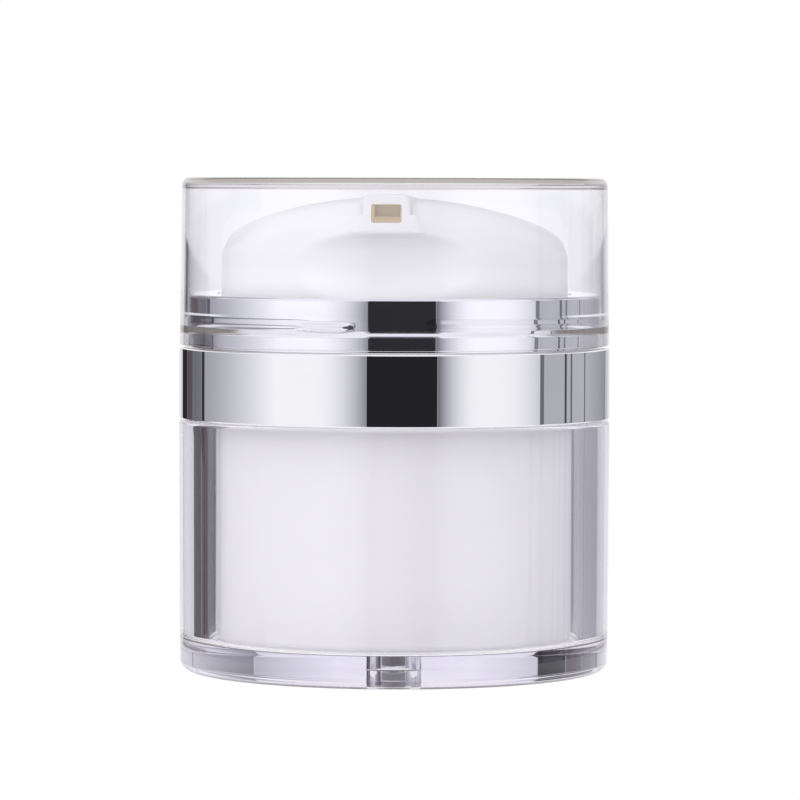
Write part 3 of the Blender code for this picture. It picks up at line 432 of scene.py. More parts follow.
def make_jar(material):
    """The clear jar: thick wall, neck under the collar, foot ring and the vent hole in its floor."""
    corners = [
        (JAR_NECK_RADIUS, JAR_NECK_TOP, 0.12), (JAR_NECK_RADIUS, JAR_LEDGE, 0.08),
        (JAR_RADIUS, JAR_LEDGE, 0.6), (JAR_WALL_FOOT_RADIUS, JAR_WALL_FOOT, 0.2),
        (FOOT_EDGE_RADIUS, FOOT_EDGE, 0.5), (FOOT_RING_RADIUS, 0, 0.3), (FOOT_RING_BORE_RADIUS, 0, 0.2),
        (JAR_UNDERSIDE_RADIUS, JAR_UNDERSIDE, 0.2), (VENT_RADIUS, JAR_UNDERSIDE, 0.1),
        (VENT_RADIUS, JAR_FLOOR, 0.1), (JAR_BORE_RADIUS, JAR_FLOOR, 0.9),
        (JAR_BORE_RADIUS, JAR_NECK_TOP, 0.1),
    ]
    shape = turned(corners, FINE_STEPS, JAR_ARC_SEGMENTS)
    shade_evenly(as_piece("clear_jar", shape, material, "base", "clear_jar", "outer_jar"))


# White cup, in mm
CUP_TOP = 39.2
CUP_RADIUS = 23.45
CUP_BORE_RADIUS = 22.2
CUP_FLOOR = 5.5
CUP_UNDERSIDE = 4.15
BEAD_SLOPE_TOP = 38.8
BEAD_TOP = 38.5
BEAD_FOOT = 38.2
BEAD_RADIUS = 24.25
FLANGE_TOP = 37.0
FLANGE_FOOT = 35.9
FLANGE_RADIUS = 27.0
GUIDE_FOOT = 34.0
GUIDE_RADIUS = 24.1
SPIGOT_FOOT = 1.3
SPIGOT_RADIUS = 1.6
SPIGOT_BORE_RADIUS = 0.6


def make_cup(material):
    """The white cup inside the jar, with its flange, guide, snap bead and vent spigot."""
    corners = [
        (CUP_RADIUS, CUP_TOP, 0.15), (CUP_RADIUS, BEAD_SLOPE_TOP, 0.05),
        (BEAD_RADIUS, BEAD_TOP, 0.15), (BEAD_RADIUS, BEAD_FOOT, 0.05), (CUP_RADIUS, BEAD_FOOT, 0.05),
        (CUP_RADIUS, FLANGE_TOP, 0.1), (FLANGE_RADIUS, FLANGE_TOP, 0.1), (FLANGE_RADIUS, FLANGE_FOOT, 0.1),
        (GUIDE_RADIUS, FLANGE_FOOT, 0.05), (GUIDE_RADIUS, GUIDE_FOOT, 0.2), (CUP_RADIUS, GUIDE_FOOT, 0.2),
        (CUP_RADIUS, CUP_UNDERSIDE, 1.2), (SPIGOT_RADIUS, CUP_UNDERSIDE, 0.3),
        (SPIGOT_RADIUS, SPIGOT_FOOT, 0.12), (SPIGOT_BORE_RADIUS, SPIGOT_FOOT, 0.08),
        (SPIGOT_BORE_RADIUS, CUP_FLOOR, 0.15), (CUP_BORE_RADIUS, CUP_FLOOR, 0.9),
        (CUP_BORE_RADIUS, CUP_TOP, 0.1),
    ]
    shape = turned(corners, PLAIN_STEPS, CUP_ARC_SEGMENTS)
    shade_evenly(as_piece("white_cup", shape, material, "base", "white_cup", "inner_cup"))


# Collar, in mm
NECK_TOP = 49.65
NECK_RADIUS = 27.2
NECK_CEILING = 48.4
NECK_BORE_RADIUS = 26.2
NECK_MOUTH_RADIUS = 23.25
BAND_TOP = 42.7
BAND_FOOT = 33.3
BAND_CEILING = 41.9
BAND_BORE_RADIUS = 27.65
THREAD_TOP = 47.4
THREAD_FOOT = 44.2
THREAD_ROWS = 38

# Thread ridges round the collar's neck, in mm and in degrees from the front, each with a lug at its end
RIDGE_STARTS = (13, 133, 253)
RIDGE_SPAN = 96.3
RIDGE_START_HEIGHT = 46.2
RIDGE_FALL = 0.002
RIDGE_RISE = 0.06
RIDGE_HALF_WIDTH = 1.05
LUG_SPAN = 13.5
LUG_RAMP = 4
LUG_RISE = 0.21
LUG_HALF_WIDTH = 0.72
NECK_TOLERANCE = 0.01


def ridge_rise(turn, height):
    """How far the collar's thread ridges stand out at this angle from the front and this height."""
    rise = 0.0
    for start in RIDGE_STARTS:
        along = (turn - start) % 360
        along = along - 360 if along > (360 + RIDGE_SPAN) / 2 else along
        held = min(max(along, 0), RIDGE_SPAN)
        past = math.radians(along - held) * NECK_RADIUS
        off = height - (RIDGE_START_HEIGHT - RIDGE_FALL * held)
        lug = min(max((held - RIDGE_SPAN + LUG_SPAN) / LUG_RAMP, 0), 1)
        far = math.hypot(past, off) / (RIDGE_HALF_WIDTH + lug * (LUG_HALF_WIDTH - RIDGE_HALF_WIDTH))
        if far < 1:
            rise = max(rise, (RIDGE_RISE + LUG_RISE * lug) * math.cos(far * math.pi / 2) ** 2)
    return rise


def make_collar(material):
    """The chromed collar: band, neck with three thread ridges, rolled edges and an open inside."""
    thread = [(NECK_RADIUS, height, 0) for height in np.linspace(THREAD_TOP, THREAD_FOOT, THREAD_ROWS)]
    corners = [
        (NECK_RADIUS, NECK_TOP, 0.35), *thread, (NECK_RADIUS, BAND_TOP, 0.1),
        (JAR_RADIUS, BAND_TOP, 0.28), (JAR_RADIUS, BAND_FOOT, 0.2), (BAND_BORE_RADIUS, BAND_FOOT, 0.1),
        (BAND_BORE_RADIUS, BAND_CEILING, 0), (NECK_BORE_RADIUS, BAND_CEILING, 0),
        (NECK_BORE_RADIUS, NECK_CEILING, 0), (NECK_MOUTH_RADIUS, NECK_CEILING, 0.05),
        (NECK_MOUTH_RADIUS, NECK_TOP, 0.3),
    ]
    shape = turned(corners, COLLAR_STEPS)
    for vert in shape.verts:
        radius, height = math.hypot(vert.co.x, vert.co.y) / MM, vert.co.z / MM
        if abs(radius - NECK_RADIUS) < NECK_TOLERANCE:
            turn = math.degrees(math.atan2(vert.co.x, -vert.co.y))
            swell = 1 + ridge_rise(turn, height) / radius
            vert.co.x *= swell
            vert.co.y *= swell
    shade_evenly(as_piece("chromed_collar", shape, material, "base", "chrome_collar", "collar_sleeve"))


# Press head, in mm
HEAD_RADIUS = 22.9
HEAD_WALL = 1.3
CROWN = 62.5
CROWN_ARCH = 4.7
CROWN_FALL = 3.0
CROWN_FALL_BEND = 1.6
CROWN_LEAN_SHARE = 0.96
CROWN_ROUNDING = 2.4
FRONT_ROUNDING_MORE = 0.8
HEAD_FLANGE = (
    (HEAD_RADIUS, 48.3), (22.95, 48.15), (23.1, 48.1), (24.1, 48.1), (24.2, 48.0),
    (24.2, 47.5), (24.1, 47.4), (21.7, 47.4), (21.6, 47.5), (21.6, 48.6),
)

# Spout, in mm: it widens downwards by its flare, and widens and falls to the back
SPOUT_TOP = 62.9
SPOUT_FOOT = 57.9
SPOUT_FACE = -22.75
SPOUT_BACK = -11.5
SPOUT_HALF_WIDTH = 2.7
SPOUT_FLARE = 1.85
SPOUT_RUN = 10.8
SPOUT_BACK_WIDER = 1.5
SPOUT_BACK_LOWER = 1.2
FLANK_LEAN_SHARE = 0.94
SPOUT_ROUNDING = 0.45
SPOUT_FACE_ROUNDING = 0.3
SPOUT_FILLET = 0.5

# Finger scoop under the spout, in mm: half an egg whose middle lies in front of the head
SCOOP_HALF_WIDTH = 18.7
SCOOP_DEPTH = 3.7
SCOOP_FORWARD = 1.0
SCOOP_RISE = 3.6
SCOOP_DROP = 4.4
SCOOP_SQUARENESS = 2.3
SCOOP_STEEPNESS_LEAST = 0.05
SCOOP_ROUNDING = 0.5
SCOOP_ROUNDING_MORE = 1.1
SCOOP_ROUNDING_TOP = 57.3
SCOOP_ROUNDING_RUN = 3


def round_union(first, second, radius):
    """Two solids as one, with a fillet in the corner between them."""
    reach = np.hypot(np.maximum(radius - first, 0), np.maximum(radius - second, 0))
    return np.maximum(radius, np.minimum(first, second)) - reach


def round_common(first, second, radius):
    """What two solids share, with a rounded edge where they meet."""
    reach = np.hypot(np.maximum(radius + first, 0), np.maximum(radius + second, 0))
    return np.minimum(-radius, np.maximum(first, second)) + reach


def crown_height(x, y):
    """The crown's skin: an arch from side to side that falls to the back."""
    arch = (HEAD_RADIUS**2 + CROWN_ARCH**2) / (2 * CROWN_ARCH)
    side = arch - np.sqrt(arch**2 - np.minimum(np.abs(x), HEAD_RADIUS) ** 2)
    back = CROWN_FALL * np.clip((y + HEAD_RADIUS) / (2 * HEAD_RADIUS), 0, 1) ** CROWN_FALL_BEND
    return CROWN - side - back


def scoop_distance(x, y, z):
    """How far a point is outside the finger scoop's hollow, about in mm."""
    dx = x / SCOOP_HALF_WIDTH
    dy = (y + HEAD_RADIUS + SCOOP_FORWARD) / SCOOP_DEPTH
    dz = z - SPOUT_FOOT + SCOOP_RISE
    flat = np.hypot(dx, dy)
    below = np.hypot(flat, dz / SCOOP_DROP)
    square = SCOOP_SQUARENESS
    above = (flat**square + np.abs(dz / SCOOP_RISE) ** square) ** (1 / square)
    value = np.where(dz > 0, above, below)
    upright = np.where(dz > 0, dz / SCOOP_RISE**2, dz / SCOOP_DROP**2)
    steep = np.hypot(np.hypot(dx / SCOOP_HALF_WIDTH, dy / SCOOP_DEPTH), upright)
    return (value - 1) * value / np.maximum(steep, SCOOP_STEEPNESS_LEAST)


def head_distance(x, y, z):
    """How far a point is outside the press head's outer skin, about in mm."""
    around = np.hypot(x, y)
    front = np.clip(-y / np.maximum(around, 0.1), 0, 1)
    lid = (z - crown_height(x, y)) * CROWN_LEAN_SHARE
    can = round_common(around - HEAD_RADIUS, lid, CROWN_ROUNDING + FRONT_ROUNDING_MORE * front)
    back_share = np.clip((y - SPOUT_FACE) / SPOUT_RUN, 0, 1)
    flare = SPOUT_FLARE * (SPOUT_TOP - z) / (SPOUT_TOP - SPOUT_FOOT)
    half = SPOUT_HALF_WIDTH + flare + SPOUT_BACK_WIDER * back_share
    flank = (np.abs(x) - half) * FLANK_LEAN_SHARE
    top = z - (SPOUT_TOP - SPOUT_BACK_LOWER * back_share)
    spout = round_common(flank, top, SPOUT_ROUNDING)
    spout = round_common(spout, SPOUT_FACE - y, SPOUT_FACE_ROUNDING)
    spout = np.maximum(spout, np.maximum(y - SPOUT_BACK, SPOUT_FOOT - z))
    body = round_union(can, spout, SPOUT_FILLET)
    lower = np.clip((SCOOP_ROUNDING_TOP - z) / SCOOP_ROUNDING_RUN, 0, 1)
    return round_common(body, -scoop_distance(x, y, z), SCOOP_ROUNDING + SCOOP_ROUNDING_MORE * lower)


# How rays look for the head's skin, in mm
RAY_STEP = 0.25
RAY_REACH = 46
RAY_HALVINGS = 14


def first_crossing(source, aim, skin):
    """Where each ray from its source first leaves the skin."""
    way = aim - source
    way /= np.linalg.norm(way, axis=-1, keepdims=True)
    low = np.zeros(way.shape[:-1])
    high = np.full(way.shape[:-1], np.nan)
    for reach in np.arange(RAY_STEP, RAY_REACH, RAY_STEP):
        spot = source + way * reach
        out = (skin(spot[..., 0], spot[..., 1], spot[..., 2]) > 0) & np.isnan(high)
        high[out] = reach
        low = np.where(np.isnan(high), reach, low)
    high = np.where(np.isnan(high), low, high)
    for _ in range(RAY_HALVINGS):
        middle = (low + high) / 2
        spot = source + way * middle[..., None]
        out = skin(spot[..., 0], spot[..., 1], spot[..., 2]) > 0
        high = np.where(out, middle, high)
        low = np.where(out, low, middle)
    return source + way * ((low + high) / 2)[..., None]


# Where the rays that find the head's skin start and end, in mm
CROWN_RAY_SOURCE = 45
CROWN_AIM_SHARE = 0.6
WALL_TOP_DROP = 2.2
WALL_FOOT = 49.4

# Near the front the wall's rays slant, to meet the spout's face and the scoop squarely
SLANT_TURN = math.radians(42)
SLANT_END = 1.5
SLANT = 1.64
SLANT_AIM = 58
SLANT_SOURCE = 60
SLANT_LOWEST = 48
SLANT_HIGHEST = 60.3


def head_skin(turns, crown_shares, wall_shares, inset):
    """Rows of points over the head's skin, from the crown's middle out and down its wall."""
    def skin(x, y, z):
        return head_distance(x, y, z) + inset

    sine, cosine = np.sin(turns), -np.cos(turns)
    edge = HEAD_RADIUS - inset
    radii = crown_shares[:, None] * edge
    x, y = radii * sine, radii * cosine
    aim = np.stack([x, y, crown_height(x, y) - CROWN_AIM_SHARE * inset], axis=-1)
    source = np.zeros_like(aim)
    source[..., 2] = CROWN_RAY_SOURCE
    crown = first_crossing(source, aim, skin)
    rim = crown_height(HEAD_RADIUS * sine, HEAD_RADIUS * cosine) - WALL_TOP_DROP
    height = WALL_FOOT + wall_shares[:, None] * (rim - WALL_FOOT)
    near = np.clip(SLANT_END - np.abs(turns) / SLANT_TURN, 0, 1)
    near = near * near * (3 - 2 * near)
    slanted = SLANT_SOURCE + SLANT * (height - SLANT_AIM)
    start = height + (np.clip(slanted, SLANT_LOWEST, SLANT_HIGHEST) - height) * near
    flat = np.ones_like(height)
    aim = np.stack([edge * sine * flat, edge * cosine * flat, height], axis=-1)
    source = np.zeros_like(aim)
    source[..., 2] = start
    return crown, first_crossing(source, aim, skin)


def shares(*runs):
    """Places from 0 to 1: each run is (from, to, count)."""
    places = [np.linspace(low, high, count, endpoint=False) for low, high, count in runs]
    return np.concatenate([*places, [1.0]])


def ring_rows(turns, corners):
    """Rows of points round the axis at these radii and heights."""
    return np.stack([
        np.stack([radius * np.sin(turns), -radius * np.cos(turns), np.full_like(turns, height)], axis=-1)
        for radius, height in corners
    ])


# Columns of points round the head: how many, and how even and how crowded to the front they stand
HEAD_COLUMNS = 300
COLUMN_SHARES = 0.42, 0.58

# Runs of rows on the head's skins: from share, to share and count
CROWN_RUNS = (0, 0.12, 4), (0.12, 0.8, 26), (0.8, 1.0, 34)
WALL_RUNS = (0, 0.82, 40), (0.82, 1.0, 50)
INNER_CROWN_RUNS = (0, 0.8, 12), (0.8, 1.0, 8)
INNER_WALL_RUN = (0, 1.0, 30)


def make_press_head(material):
    """The white press head: arched crown, spout ridge, finger scoop, flange and an even wall."""
    even = np.linspace(-1, 1, HEAD_COLUMNS + 1)
    turns = math.pi * (COLUMN_SHARES[0] * even + COLUMN_SHARES[1] * even**3)
    crown, wall = head_skin(turns, shares(*CROWN_RUNS), shares(*WALL_RUNS), 0.0)
    inner_crown, inner_wall = head_skin(turns, shares(*INNER_CROWN_RUNS), shares(INNER_WALL_RUN), HEAD_WALL)
    flange = ring_rows(turns, HEAD_FLANGE)
    rows = np.concatenate([crown[:-1], wall[::-1], flange, inner_wall, inner_crown[-2::-1]])
    shape = bmesh.new()
    bmesh.ops.create_grid(shape, x_segments=rows.shape[1] - 1, y_segments=rows.shape[0] - 1, size=1)
    order = sorted(shape.verts, key=lambda vert: (round(vert.co.y, 5), round(vert.co.x, 5)))
    for vert, spot in zip(order, rows.reshape(-1, 3)):
        vert.co = Vector(spot) * MM
    bmesh.ops.remove_doubles(shape, verts=shape.verts[:], dist=WELD)
    bmesh.ops.dissolve_degenerate(shape, dist=WELD, edges=shape.edges[:])
    bmesh.ops.recalc_face_normals(shape, faces=shape.faces[:])
    head = as_piece("white_press_head", shape, material, "head", "white_head", "press_head")
    cutter = mouth_cutter()
    cut = head.modifiers.new("mouth", "BOOLEAN")
    cut.operation = "DIFFERENCE"
    cut.object = cutter
    apply_modifiers(head)
    bpy.data.objects.remove(cutter)


def apply_modifiers(piece):
    """Works the piece's modifiers into its mesh."""
    bpy.context.view_layer.update()
    seen = piece.evaluated_get(bpy.context.evaluated_depsgraph_get())
    mesh = bpy.data.meshes.new_from_object(seen)
    piece.modifiers.clear()
    piece.data = mesh
    mesh.set_sharp_from_angle(angle=CRISP_ANGLE)


# Spout's mouth, in mm: its lining, and the cut for it in the press head
MOUTH_MIDDLE = 60.45
MOUTH_SLOPE = math.radians(5.5)
MOUTH_WIDTH = 3.8
MOUTH_HEIGHT = 2.3
LINING_FRONT = SPOUT_FACE + 0.35
LINING_BACK = -17.2
LINING_WALL = 0.16
LINING_ROUNDING = 0.28
LIP_ROUNDING = 0.05
LIP_ANGLE = 1.2
MOUTH_PLAY = 0.03
CUT_FRONT = -24.5
CUT_BACK = -17.0
CUT_ROUNDING = 0.3


def mouth_block(width, height, front, back, rounding):
    """A block with rounded long edges along the spout's passage, in mm, front and back as y."""
    shape = bmesh.new()
    bmesh.ops.create_cube(shape, size=1)
    bmesh.ops.scale(shape, vec=(width * MM, (back - front) * MM, height * MM), verts=shape.verts[:])
    long_edges = [edge for edge in shape.edges if abs(edge.verts[0].co.y - edge.verts[1].co.y) > MM / 2]
    bmesh.ops.bevel(
        shape, geom=long_edges, offset=rounding * MM, offset_type="OFFSET", affect="EDGES", segments=4,
        profile=0.5, material=-1, clamp_overlap=True,
    )
    bmesh.ops.translate(shape, vec=(0, (front + back) / 2 * MM, MOUTH_MIDDLE * MM), verts=shape.verts[:])
    pivot = Matrix.Translation((0, SPOUT_FACE * MM, MOUTH_MIDDLE * MM))
    lean = pivot @ Matrix.Rotation(MOUTH_SLOPE, 4, "X") @ pivot.inverted()
    bmesh.ops.transform(shape, matrix=lean, verts=shape.verts[:])
    return shape


def mouth_cutter():
    """The block that cuts the spout's mouth."""
    mesh = bpy.data.meshes.new("mouth_cutter")
    width, height = MOUTH_WIDTH + 2 * MOUTH_PLAY, MOUTH_HEIGHT + 2 * MOUTH_PLAY
    shape = mouth_block(width, height, CUT_FRONT, CUT_BACK, CUT_ROUNDING)
    shape.to_mesh(mesh)
    shape.free()
    return bpy.data.objects.new("mouth_cutter", mesh)


def make_mouth_lining(material):
    """The insert's end in the spout's mouth: a thin tube with a rounded lip."""
    shape = mouth_block(MOUTH_WIDTH, MOUTH_HEIGHT, LINING_FRONT, LINING_BACK, LINING_ROUNDING)
    ends = [face for face in shape.faces if abs(face.normal.y) > 0.9]
    bmesh.ops.delete(shape, geom=ends, context="FACES_ONLY")
    bmesh.ops.recalc_face_normals(shape, faces=shape.faces[:])
    bmesh.ops.solidify(shape, geom=shape.faces[:], thickness=LINING_WALL * MM)
    lips = [edge for edge in shape.edges if edge.calc_face_angle(0) > LIP_ANGLE]
    bmesh.ops.bevel(
        shape, geom=lips, offset=LIP_ROUNDING * MM, offset_type="OFFSET", affect="EDGES", segments=2,
        profile=0.5, material=-1, clamp_overlap=True,
    )
    as_piece("mouth_lining", shape, material, "head", "white_core")


# Return spring, in mm
SPRING_FOOT = 39.7
SPRING_TOP = 55.17
SPRING_RADIUS = 10.6
SPRING_COILS = 5
COIL_STEPS = 40
WIRE_RADIUS = 0.4
WIRE_FACETS = 12


def make_spring(material):
    """The return spring in smooth wire."""
    low, high, steps = SPRING_FOOT, SPRING_TOP, SPRING_COILS * COIL_STEPS
    shape = bmesh.new()
    bmesh.ops.create_circle(shape, cap_ends=False, segments=WIRE_FACETS, radius=WIRE_RADIUS * MM)
    start = Matrix.Translation((SPRING_RADIUS * MM, 0, (low + WIRE_RADIUS) * MM))
    upright = start @ Matrix.Rotation(math.pi / 2, 4, "X")
    bmesh.ops.transform(shape, matrix=upright, verts=shape.verts[:])
    bmesh.ops.spin(
        shape, geom=shape.verts[:] + shape.edges[:], cent=(0, 0, 0), axis=(0, 0, 1),
        dvec=(0, 0, (high - low - 2 * WIRE_RADIUS) * MM / steps),
        angle=SPRING_COILS * 2 * math.pi, steps=steps, use_merge=False,
    )
    bmesh.ops.holes_fill(shape, edges=[edge for edge in shape.edges if edge.is_boundary])
    bmesh.ops.recalc_face_normals(shape, faces=shape.faces[:])
    spring = as_piece("fine_return_spring", shape, material, "base", "bright_steel", "return_spring")
    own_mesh(spring)


# The hidden pieces, which stay as packed, and the finish of each
HIDDEN_PIECES = {
    "follower_piston": "soft", "plate_gasket": "foam", "pump_plate": "plain", "closure_ring": "plain",
    "pump_cylinder": "plain", "intake_ball": "steel", "valve_cage": "soft", "pump_piston": "soft",
    "stem": "core", "stem_tip": "core", "stem_guide": "plain", "nozzle_core": "insert",
}


def dress_hidden_pieces(finishes):
    for name, finish in HIDDEN_PIECES.items():
        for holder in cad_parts[name].material_slots:
            holder.material = finishes[finish]


# What stands round the jar: turns from the camera's side in degrees, brightness at both and the bend between
STUDIO_PANELS = (
    (-172, -156, 0.98, 0.66, 1.0),
    (-156, -145, 0.019, 0.028, 1.0),
    (-145, -136, 0.075, 0.09, 1.0),
    (-136, -124.5, 0.15, 0.19, 1.0),
    (-124.5, -121, 0.03, 0.04, 1.0),
    (-121, -66, 0.38, 0.985, 1.4),
    (-66, -44, 0.985, 0.985, 1.0),
    (-44, -14.6, 0.985, 0.27, 2.0),
    (-14.6, 22.8, 0.018, 0.018, 1.0),
    (46, 22.8, 0.97, 0.13, 2.0),
    (46, 56, 0.97, 0.97, 1.0),
    (56, 83.5, 0.97, 0.65, 2.0),
    (83.5, 86.7, 0.14, 0.18, 1.0),
    (86.7, 122.7, 0.45, 0.48, 1.0),
    (102.5, 104.3, 0.08, 0.05, 1.0),
    (107.7, 109.2, 0.14, 0.14, 1.0),
    (121.4, 122.7, 0.12, 0.12, 1.0),
    (122.7, 154, 0.48, 0.28, 1.0),
    (154, 172, 0.48, 0.96, 1.0),
)
PANEL_SOFTNESS = 0.4

# Sines of a ray's slope, up or down. A flatter ray than the first comes through the cap alone. A steeper one
# than the second comes through the jar, and a steeper one than the third through its floor.
CAP_RISES = 0.0225, 0.0245
JAR_RISES = 0.04, 0.05
JAR_FLOOR_RISES = 0.09, 0.096

# How many walls of clear plastic a ray has passed when it counts as one that came through the whole jar
WALLS_PASSED = 2.4, 3.6

# How far the jar spreads the panels it shows, as shares of their turn
JAR_SPREAD = 0.036
RIGHT_SPREAD_LESS = 0.049
RIGHT_FLOOR_SPREAD_MORE = 0.025
STRAIGHT_SPREAD_LESS = 0.025

# Room over and under the panels: the rises at which it changes, its turns in degrees and its brightness
BOX_TONES = 0.25, 0.45
BOX_END_RISES = 0.05, 0.3
OPEN_TOP_RISES = 0.06, 0.16
CEILING_RISES = 0.36, 0.5
CEILING_TONE = 0.95
BACK_CEILING_TURNS = 95, 110
BACK_CEILING_RISES = 0.4, 0.8, 0.05
BACK_CEILING_TONE = 0.45

# What rays through the clear pieces show of the room
FRONT_TURNS = -70, 70, 10
BACK_TURNS = 100, 120
CAP_BACK_WHITE = 0.92
LOST_MIRRORINGS = 2.4, 2.8
LOST_RISES = 0.1, 0.15
LOST_DARKNESS = 0.5
MIDDLE_TURNS = -1, 1
GAP_DARKNESS = 0.65
FOOT_RISES = -0.106, -0.092, 0.002
FOOT_TURNS = 82, 84
FOOT_FADE_TURNS = 152, 115
FOOT_DARKNESS = 0.8
NECK_GAIN = 0.09
NECK_GLOW = 0.01

# Tints: a brown stand, and what each kind of ray has more or less of
BROWN_TURNS = -144.5, -137, 1
BROWN_RED = 0.35
BACK_CEILING_RED = 0.04
BACK_CEILING_BLUE = -0.07
LOST_RED = 0.05
LOST_BLUE = -0.08
SHADE_BLUE = 0.11
THROUGH_BLUE = 0.05


def studio_ray(recipe):
    """What the world knows of a ray: its turn from the camera in degrees, its slope and its way so far."""
    way = recipe.node("ShaderNodeTexCoord").outputs["Generated"]
    parts = recipe.node("ShaderNodeSeparateXYZ", None, {0: way})
    east, north, up = (Level(recipe, parts.outputs[name]) for name in ("X", "Y", "Z"))
    path = recipe.node("ShaderNodeLightPath")
    ray = SimpleNamespace(up=up, rise=up.size())
    ray.camera = Level(recipe, path.outputs["Is Camera Ray"])
    ray.through = Level(recipe, path.outputs["Is Transmission Ray"])
    ray.mirrorings = Level(recipe, path.outputs["Glossy Depth"])
    ray.mirrored = ray.mirrorings.least(1.0)
    ray.straight = ray.through * (1 - ray.mirrored)
    ray.walls = Level(recipe, path.outputs["Transmission Depth"]).step(*WALLS_PASSED)
    ray.jar = ray.through * ray.rise.step(*JAR_RISES)
    ray.cap = ray.through * (1 - ray.rise.step(*CAP_RISES))
    ray.floor = ray.rise.step(*JAR_FLOOR_RISES)
    turn = east.sum("ARCTAN2", north * -1) * (180 / math.pi) - math.degrees(CAMERA_TURN)
    right = turn.step(*MIDDLE_TURNS) * (RIGHT_SPREAD_LESS - ray.floor * RIGHT_FLOOR_SPREAD_MORE)
    spread = JAR_SPREAD - right - ray.straight * ray.walls * STRAIGHT_SPREAD_LESS
    ray.turn = turn * (1 + ray.jar * spread)
    ray.aside = ray.turn.size()
    return ray


def panel_tone(recipe, ray):
    """How bright the studio is where this ray meets it: its panels, and white where none stands."""
    tone = recipe.level("ShaderNodeValue")
    tone.socket.default_value = 1.0
    for start, stop, first, last, bend in STUDIO_PANELS:
        level = first + ray.turn.share(start, stop) ** bend * (last - first)
        inside = ray.turn.between(min(start, stop), max(start, stop), PANEL_SOFTNESS)
        tone = tone + inside * (level - tone)
    return tone


def clear_piece_shade(ray, lost):
    """How much light is left to rays that got lost, show the dark gap or leave the foot at its ends."""
    gap = ray.jar * (1 - ray.floor) * ray.walls * ray.mirrored * (1 - ray.turn.step(*MIDDLE_TURNS))
    foot = ray.jar * ray.up.between(*FOOT_RISES) * ray.aside.step(*FOOT_TURNS)
    foot = foot * ray.aside.share(*FOOT_FADE_TURNS)
    return (1 - lost * LOST_DARKNESS) * (1 - gap * GAP_DARKNESS) * (1 - foot * FOOT_DARKNESS)


def make_studio():
    """The world: white behind the jar, with soft boxes, dark gaps and stands for the chrome to show."""
    world = bpy.data.worlds.new("studio")
    bpy.context.scene.world = world
    recipe = Recipe(world)
    ray = studio_ray(recipe)

    tone = panel_tone(recipe, ray)
    box_ends = tone.step(*BOX_TONES) * ray.rise.step(*BOX_END_RISES)
    open_top = (1 - ray.through) * ray.up.step(*OPEN_TOP_RISES)
    tone = tone + box_ends.most(open_top) * (1 - tone)
    tone = tone + ray.rise.step(*CEILING_RISES) * (CEILING_TONE - tone)
    back_ceiling = ray.aside.step(*BACK_CEILING_TURNS) * ray.up.between(*BACK_CEILING_RISES)
    tone = tone - back_ceiling * (tone - BACK_CEILING_TONE)

    seen = tone + ray.straight * (ray.turn.between(*FRONT_TURNS) * (1 - tone))
    seen = seen + ray.cap * ray.aside.step(*BACK_TURNS) * CAP_BACK_WHITE * (1 - seen)
    seen = seen + ray.camera * (1 - seen)
    lost = ray.mirrorings.step(*LOST_MIRRORINGS) * ray.up.step(*LOST_RISES)
    seen = seen * clear_piece_shade(ray, lost)
    neck = ray.through * (1 - ray.rise.step(*JAR_RISES)) * ray.walls * ray.mirrored
    seen = seen * (1 + neck * NECK_GAIN) + neck * NECK_GLOW

    brown = ray.turn.between(*BROWN_TURNS) * (1 - seen.least(1.0))
    red = seen * (1 + brown * BROWN_RED + back_ceiling * BACK_CEILING_RED + lost * LOST_RED)
    cool = (1 + SHADE_BLUE) - seen * SHADE_BLUE + ray.through * THROUGH_BLUE
    blue = seen * (cool + back_ceiling * BACK_CEILING_BLUE + lost * LOST_BLUE)
    colour = recipe.node("ShaderNodeCombineColor", None, [red, seen, blue])
    light = recipe.node("ShaderNodeBackground", None, {"Color": colour.outputs[0], "Strength": 1.0})
    out = recipe.node("ShaderNodeOutputWorld")
    recipe.tree.links.new(light.outputs[0], out.inputs[0])


FLOOR_RADIUS = 0.05
FLOOR_SIDES = 96


def make_floor():
    """A pale floor that keeps the jar's shadow."""
    shape = bmesh.new()
    bmesh.ops.create_circle(shape, cap_ends=True, segments=FLOOR_SIDES, radius=FLOOR_RADIUS)
    mesh = bpy.data.meshes.new("studio_floor")
    shape.to_mesh(mesh)
    shape.free()
    material, recipe = finish_named("studio_floor")
    matt = recipe.node("ShaderNodeBsdfDiffuse", None, {"Color": (0.80, 0.80, 0.82, 1)})
    soft = recipe.node("ShaderNodeBsdfDiffuse", None, {"Color": (0.25, 0.25, 0.25, 1)})
    glow = recipe.node("ShaderNodeEmission", None, {"Color": (1, 1, 1, 1), "Strength": 0.8})
    bright = recipe.node("ShaderNodeAddShader", None, [soft.outputs[0], glow.outputs[0]])
    path = recipe.node("ShaderNodeLightPath")
    rays = "Is Camera Ray", "Is Glossy Ray", "Is Transmission Ray"
    camera, mirror, through = (Level(recipe, path.outputs[name]) for name in rays)
    values = [camera.most(mirror).most(through), matt.outputs[0], bright.outputs[0]]
    mix = recipe.node("ShaderNodeMixShader", None, values)
    recipe.finish(mix.outputs[0])
    mesh.materials.append(material)
    floor = bpy.data.objects.new("studio_floor", mesh)
    bpy.context.scene.collection.objects.link(floor)


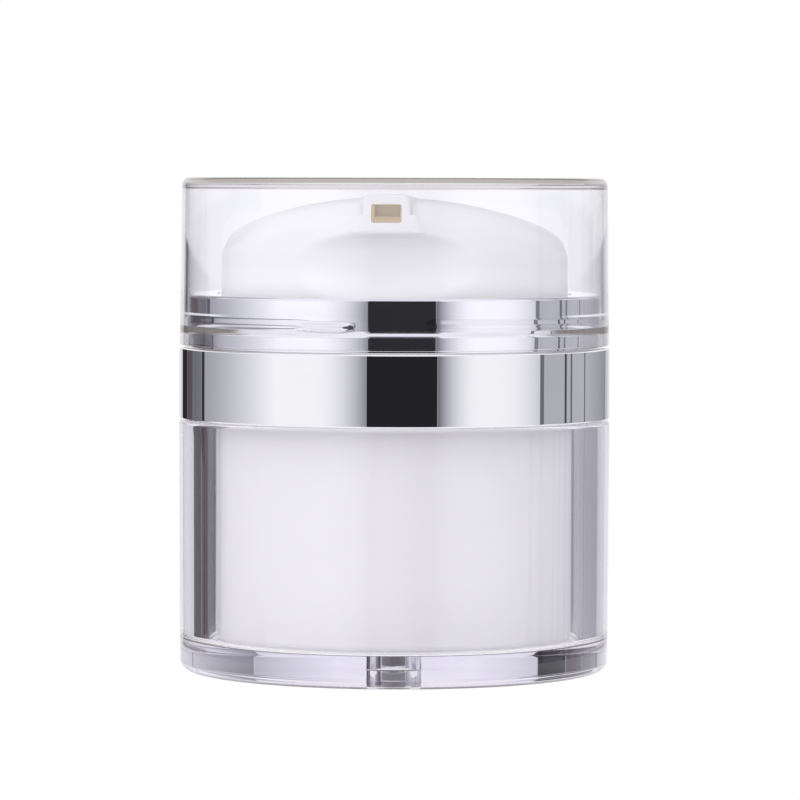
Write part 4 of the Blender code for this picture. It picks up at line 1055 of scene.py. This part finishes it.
# Soft boxes: name, place and width in metres, and power
LAMPS = (
    ("key_box", (-0.5, -0.8, 0.4), 0.6, 1.4),
    ("front_box", (0.0, -0.9, 0.2), 0.3, 0.7),
    ("low_box", (0.0, -0.88, -0.18), 0.4, 1.75),
    ("left_box", (-0.78, 0.42, 0.1), 0.4, 2.7),
    ("right_box", (0.72, 0.5, 0.1), 0.4, 2.1),
    ("top_box", (0.0, 0.1, 0.9), 0.6, 0.8),
)
LAMP_AIM = Vector((0, 0, 0.035))


def make_lamp(name, place, width, power):
    """A soft box that lights the jar and isn't mirrored in the chrome."""
    light = bpy.data.lights.new(name, "AREA")
    light.size = width
    light.energy = power
    lamp = bpy.data.objects.new(name, light)
    lamp.location = place
    lamp.rotation_euler = (LAMP_AIM - Vector(place)).to_track_quat("-Z", "Y").to_euler()
    lamp.visible_camera = False
    lamp.visible_glossy = False
    lamp.visible_transmission = False
    bpy.context.scene.collection.objects.link(lamp)


def make_camera():
    camera = bpy.data.objects.new("camera", bpy.data.cameras.new("camera"))
    camera.data.lens = CAMERA_LENS
    camera.data.sensor_width = CAMERA_SENSOR
    camera.data.clip_start = CAMERA_CLIP
    across = Vector((math.cos(CAMERA_TURN), math.sin(CAMERA_TURN), 0))
    back = Vector((math.sin(CAMERA_TURN), -math.cos(CAMERA_TURN), 0))
    place = back * CAMERA_DISTANCE + across * CAMERA_ASIDE + Vector((0, 0, CAMERA_HEIGHT))
    aim = across * CAMERA_ASIDE + Vector((0, 0, CAMERA_AIM_HEIGHT))
    turn = (aim - place).to_track_quat("-Z", "Y").to_matrix().to_4x4()
    roll = Matrix.Rotation(CAMERA_ROLL, 4, "Z")
    camera.matrix_world = Matrix.Translation(place) @ turn @ roll
    bpy.context.scene.collection.objects.link(camera)
    bpy.context.scene.camera = camera


def main():
    finishes = make_finishes()
    make_overcap(finishes["cap"])
    make_jar(finishes["jar"])
    make_cup(finishes["cup"])
    make_collar(finishes["chrome"])
    make_press_head(finishes["head"])
    make_mouth_lining(finishes["insert"])
    make_spring(finishes["steel"])
    dress_hidden_pieces(finishes)

    make_studio()
    make_floor()
    for lamp in LAMPS:
        make_lamp(*lamp)
    make_camera()
    bpy.context.scene.view_settings.view_transform = "Standard"


main()
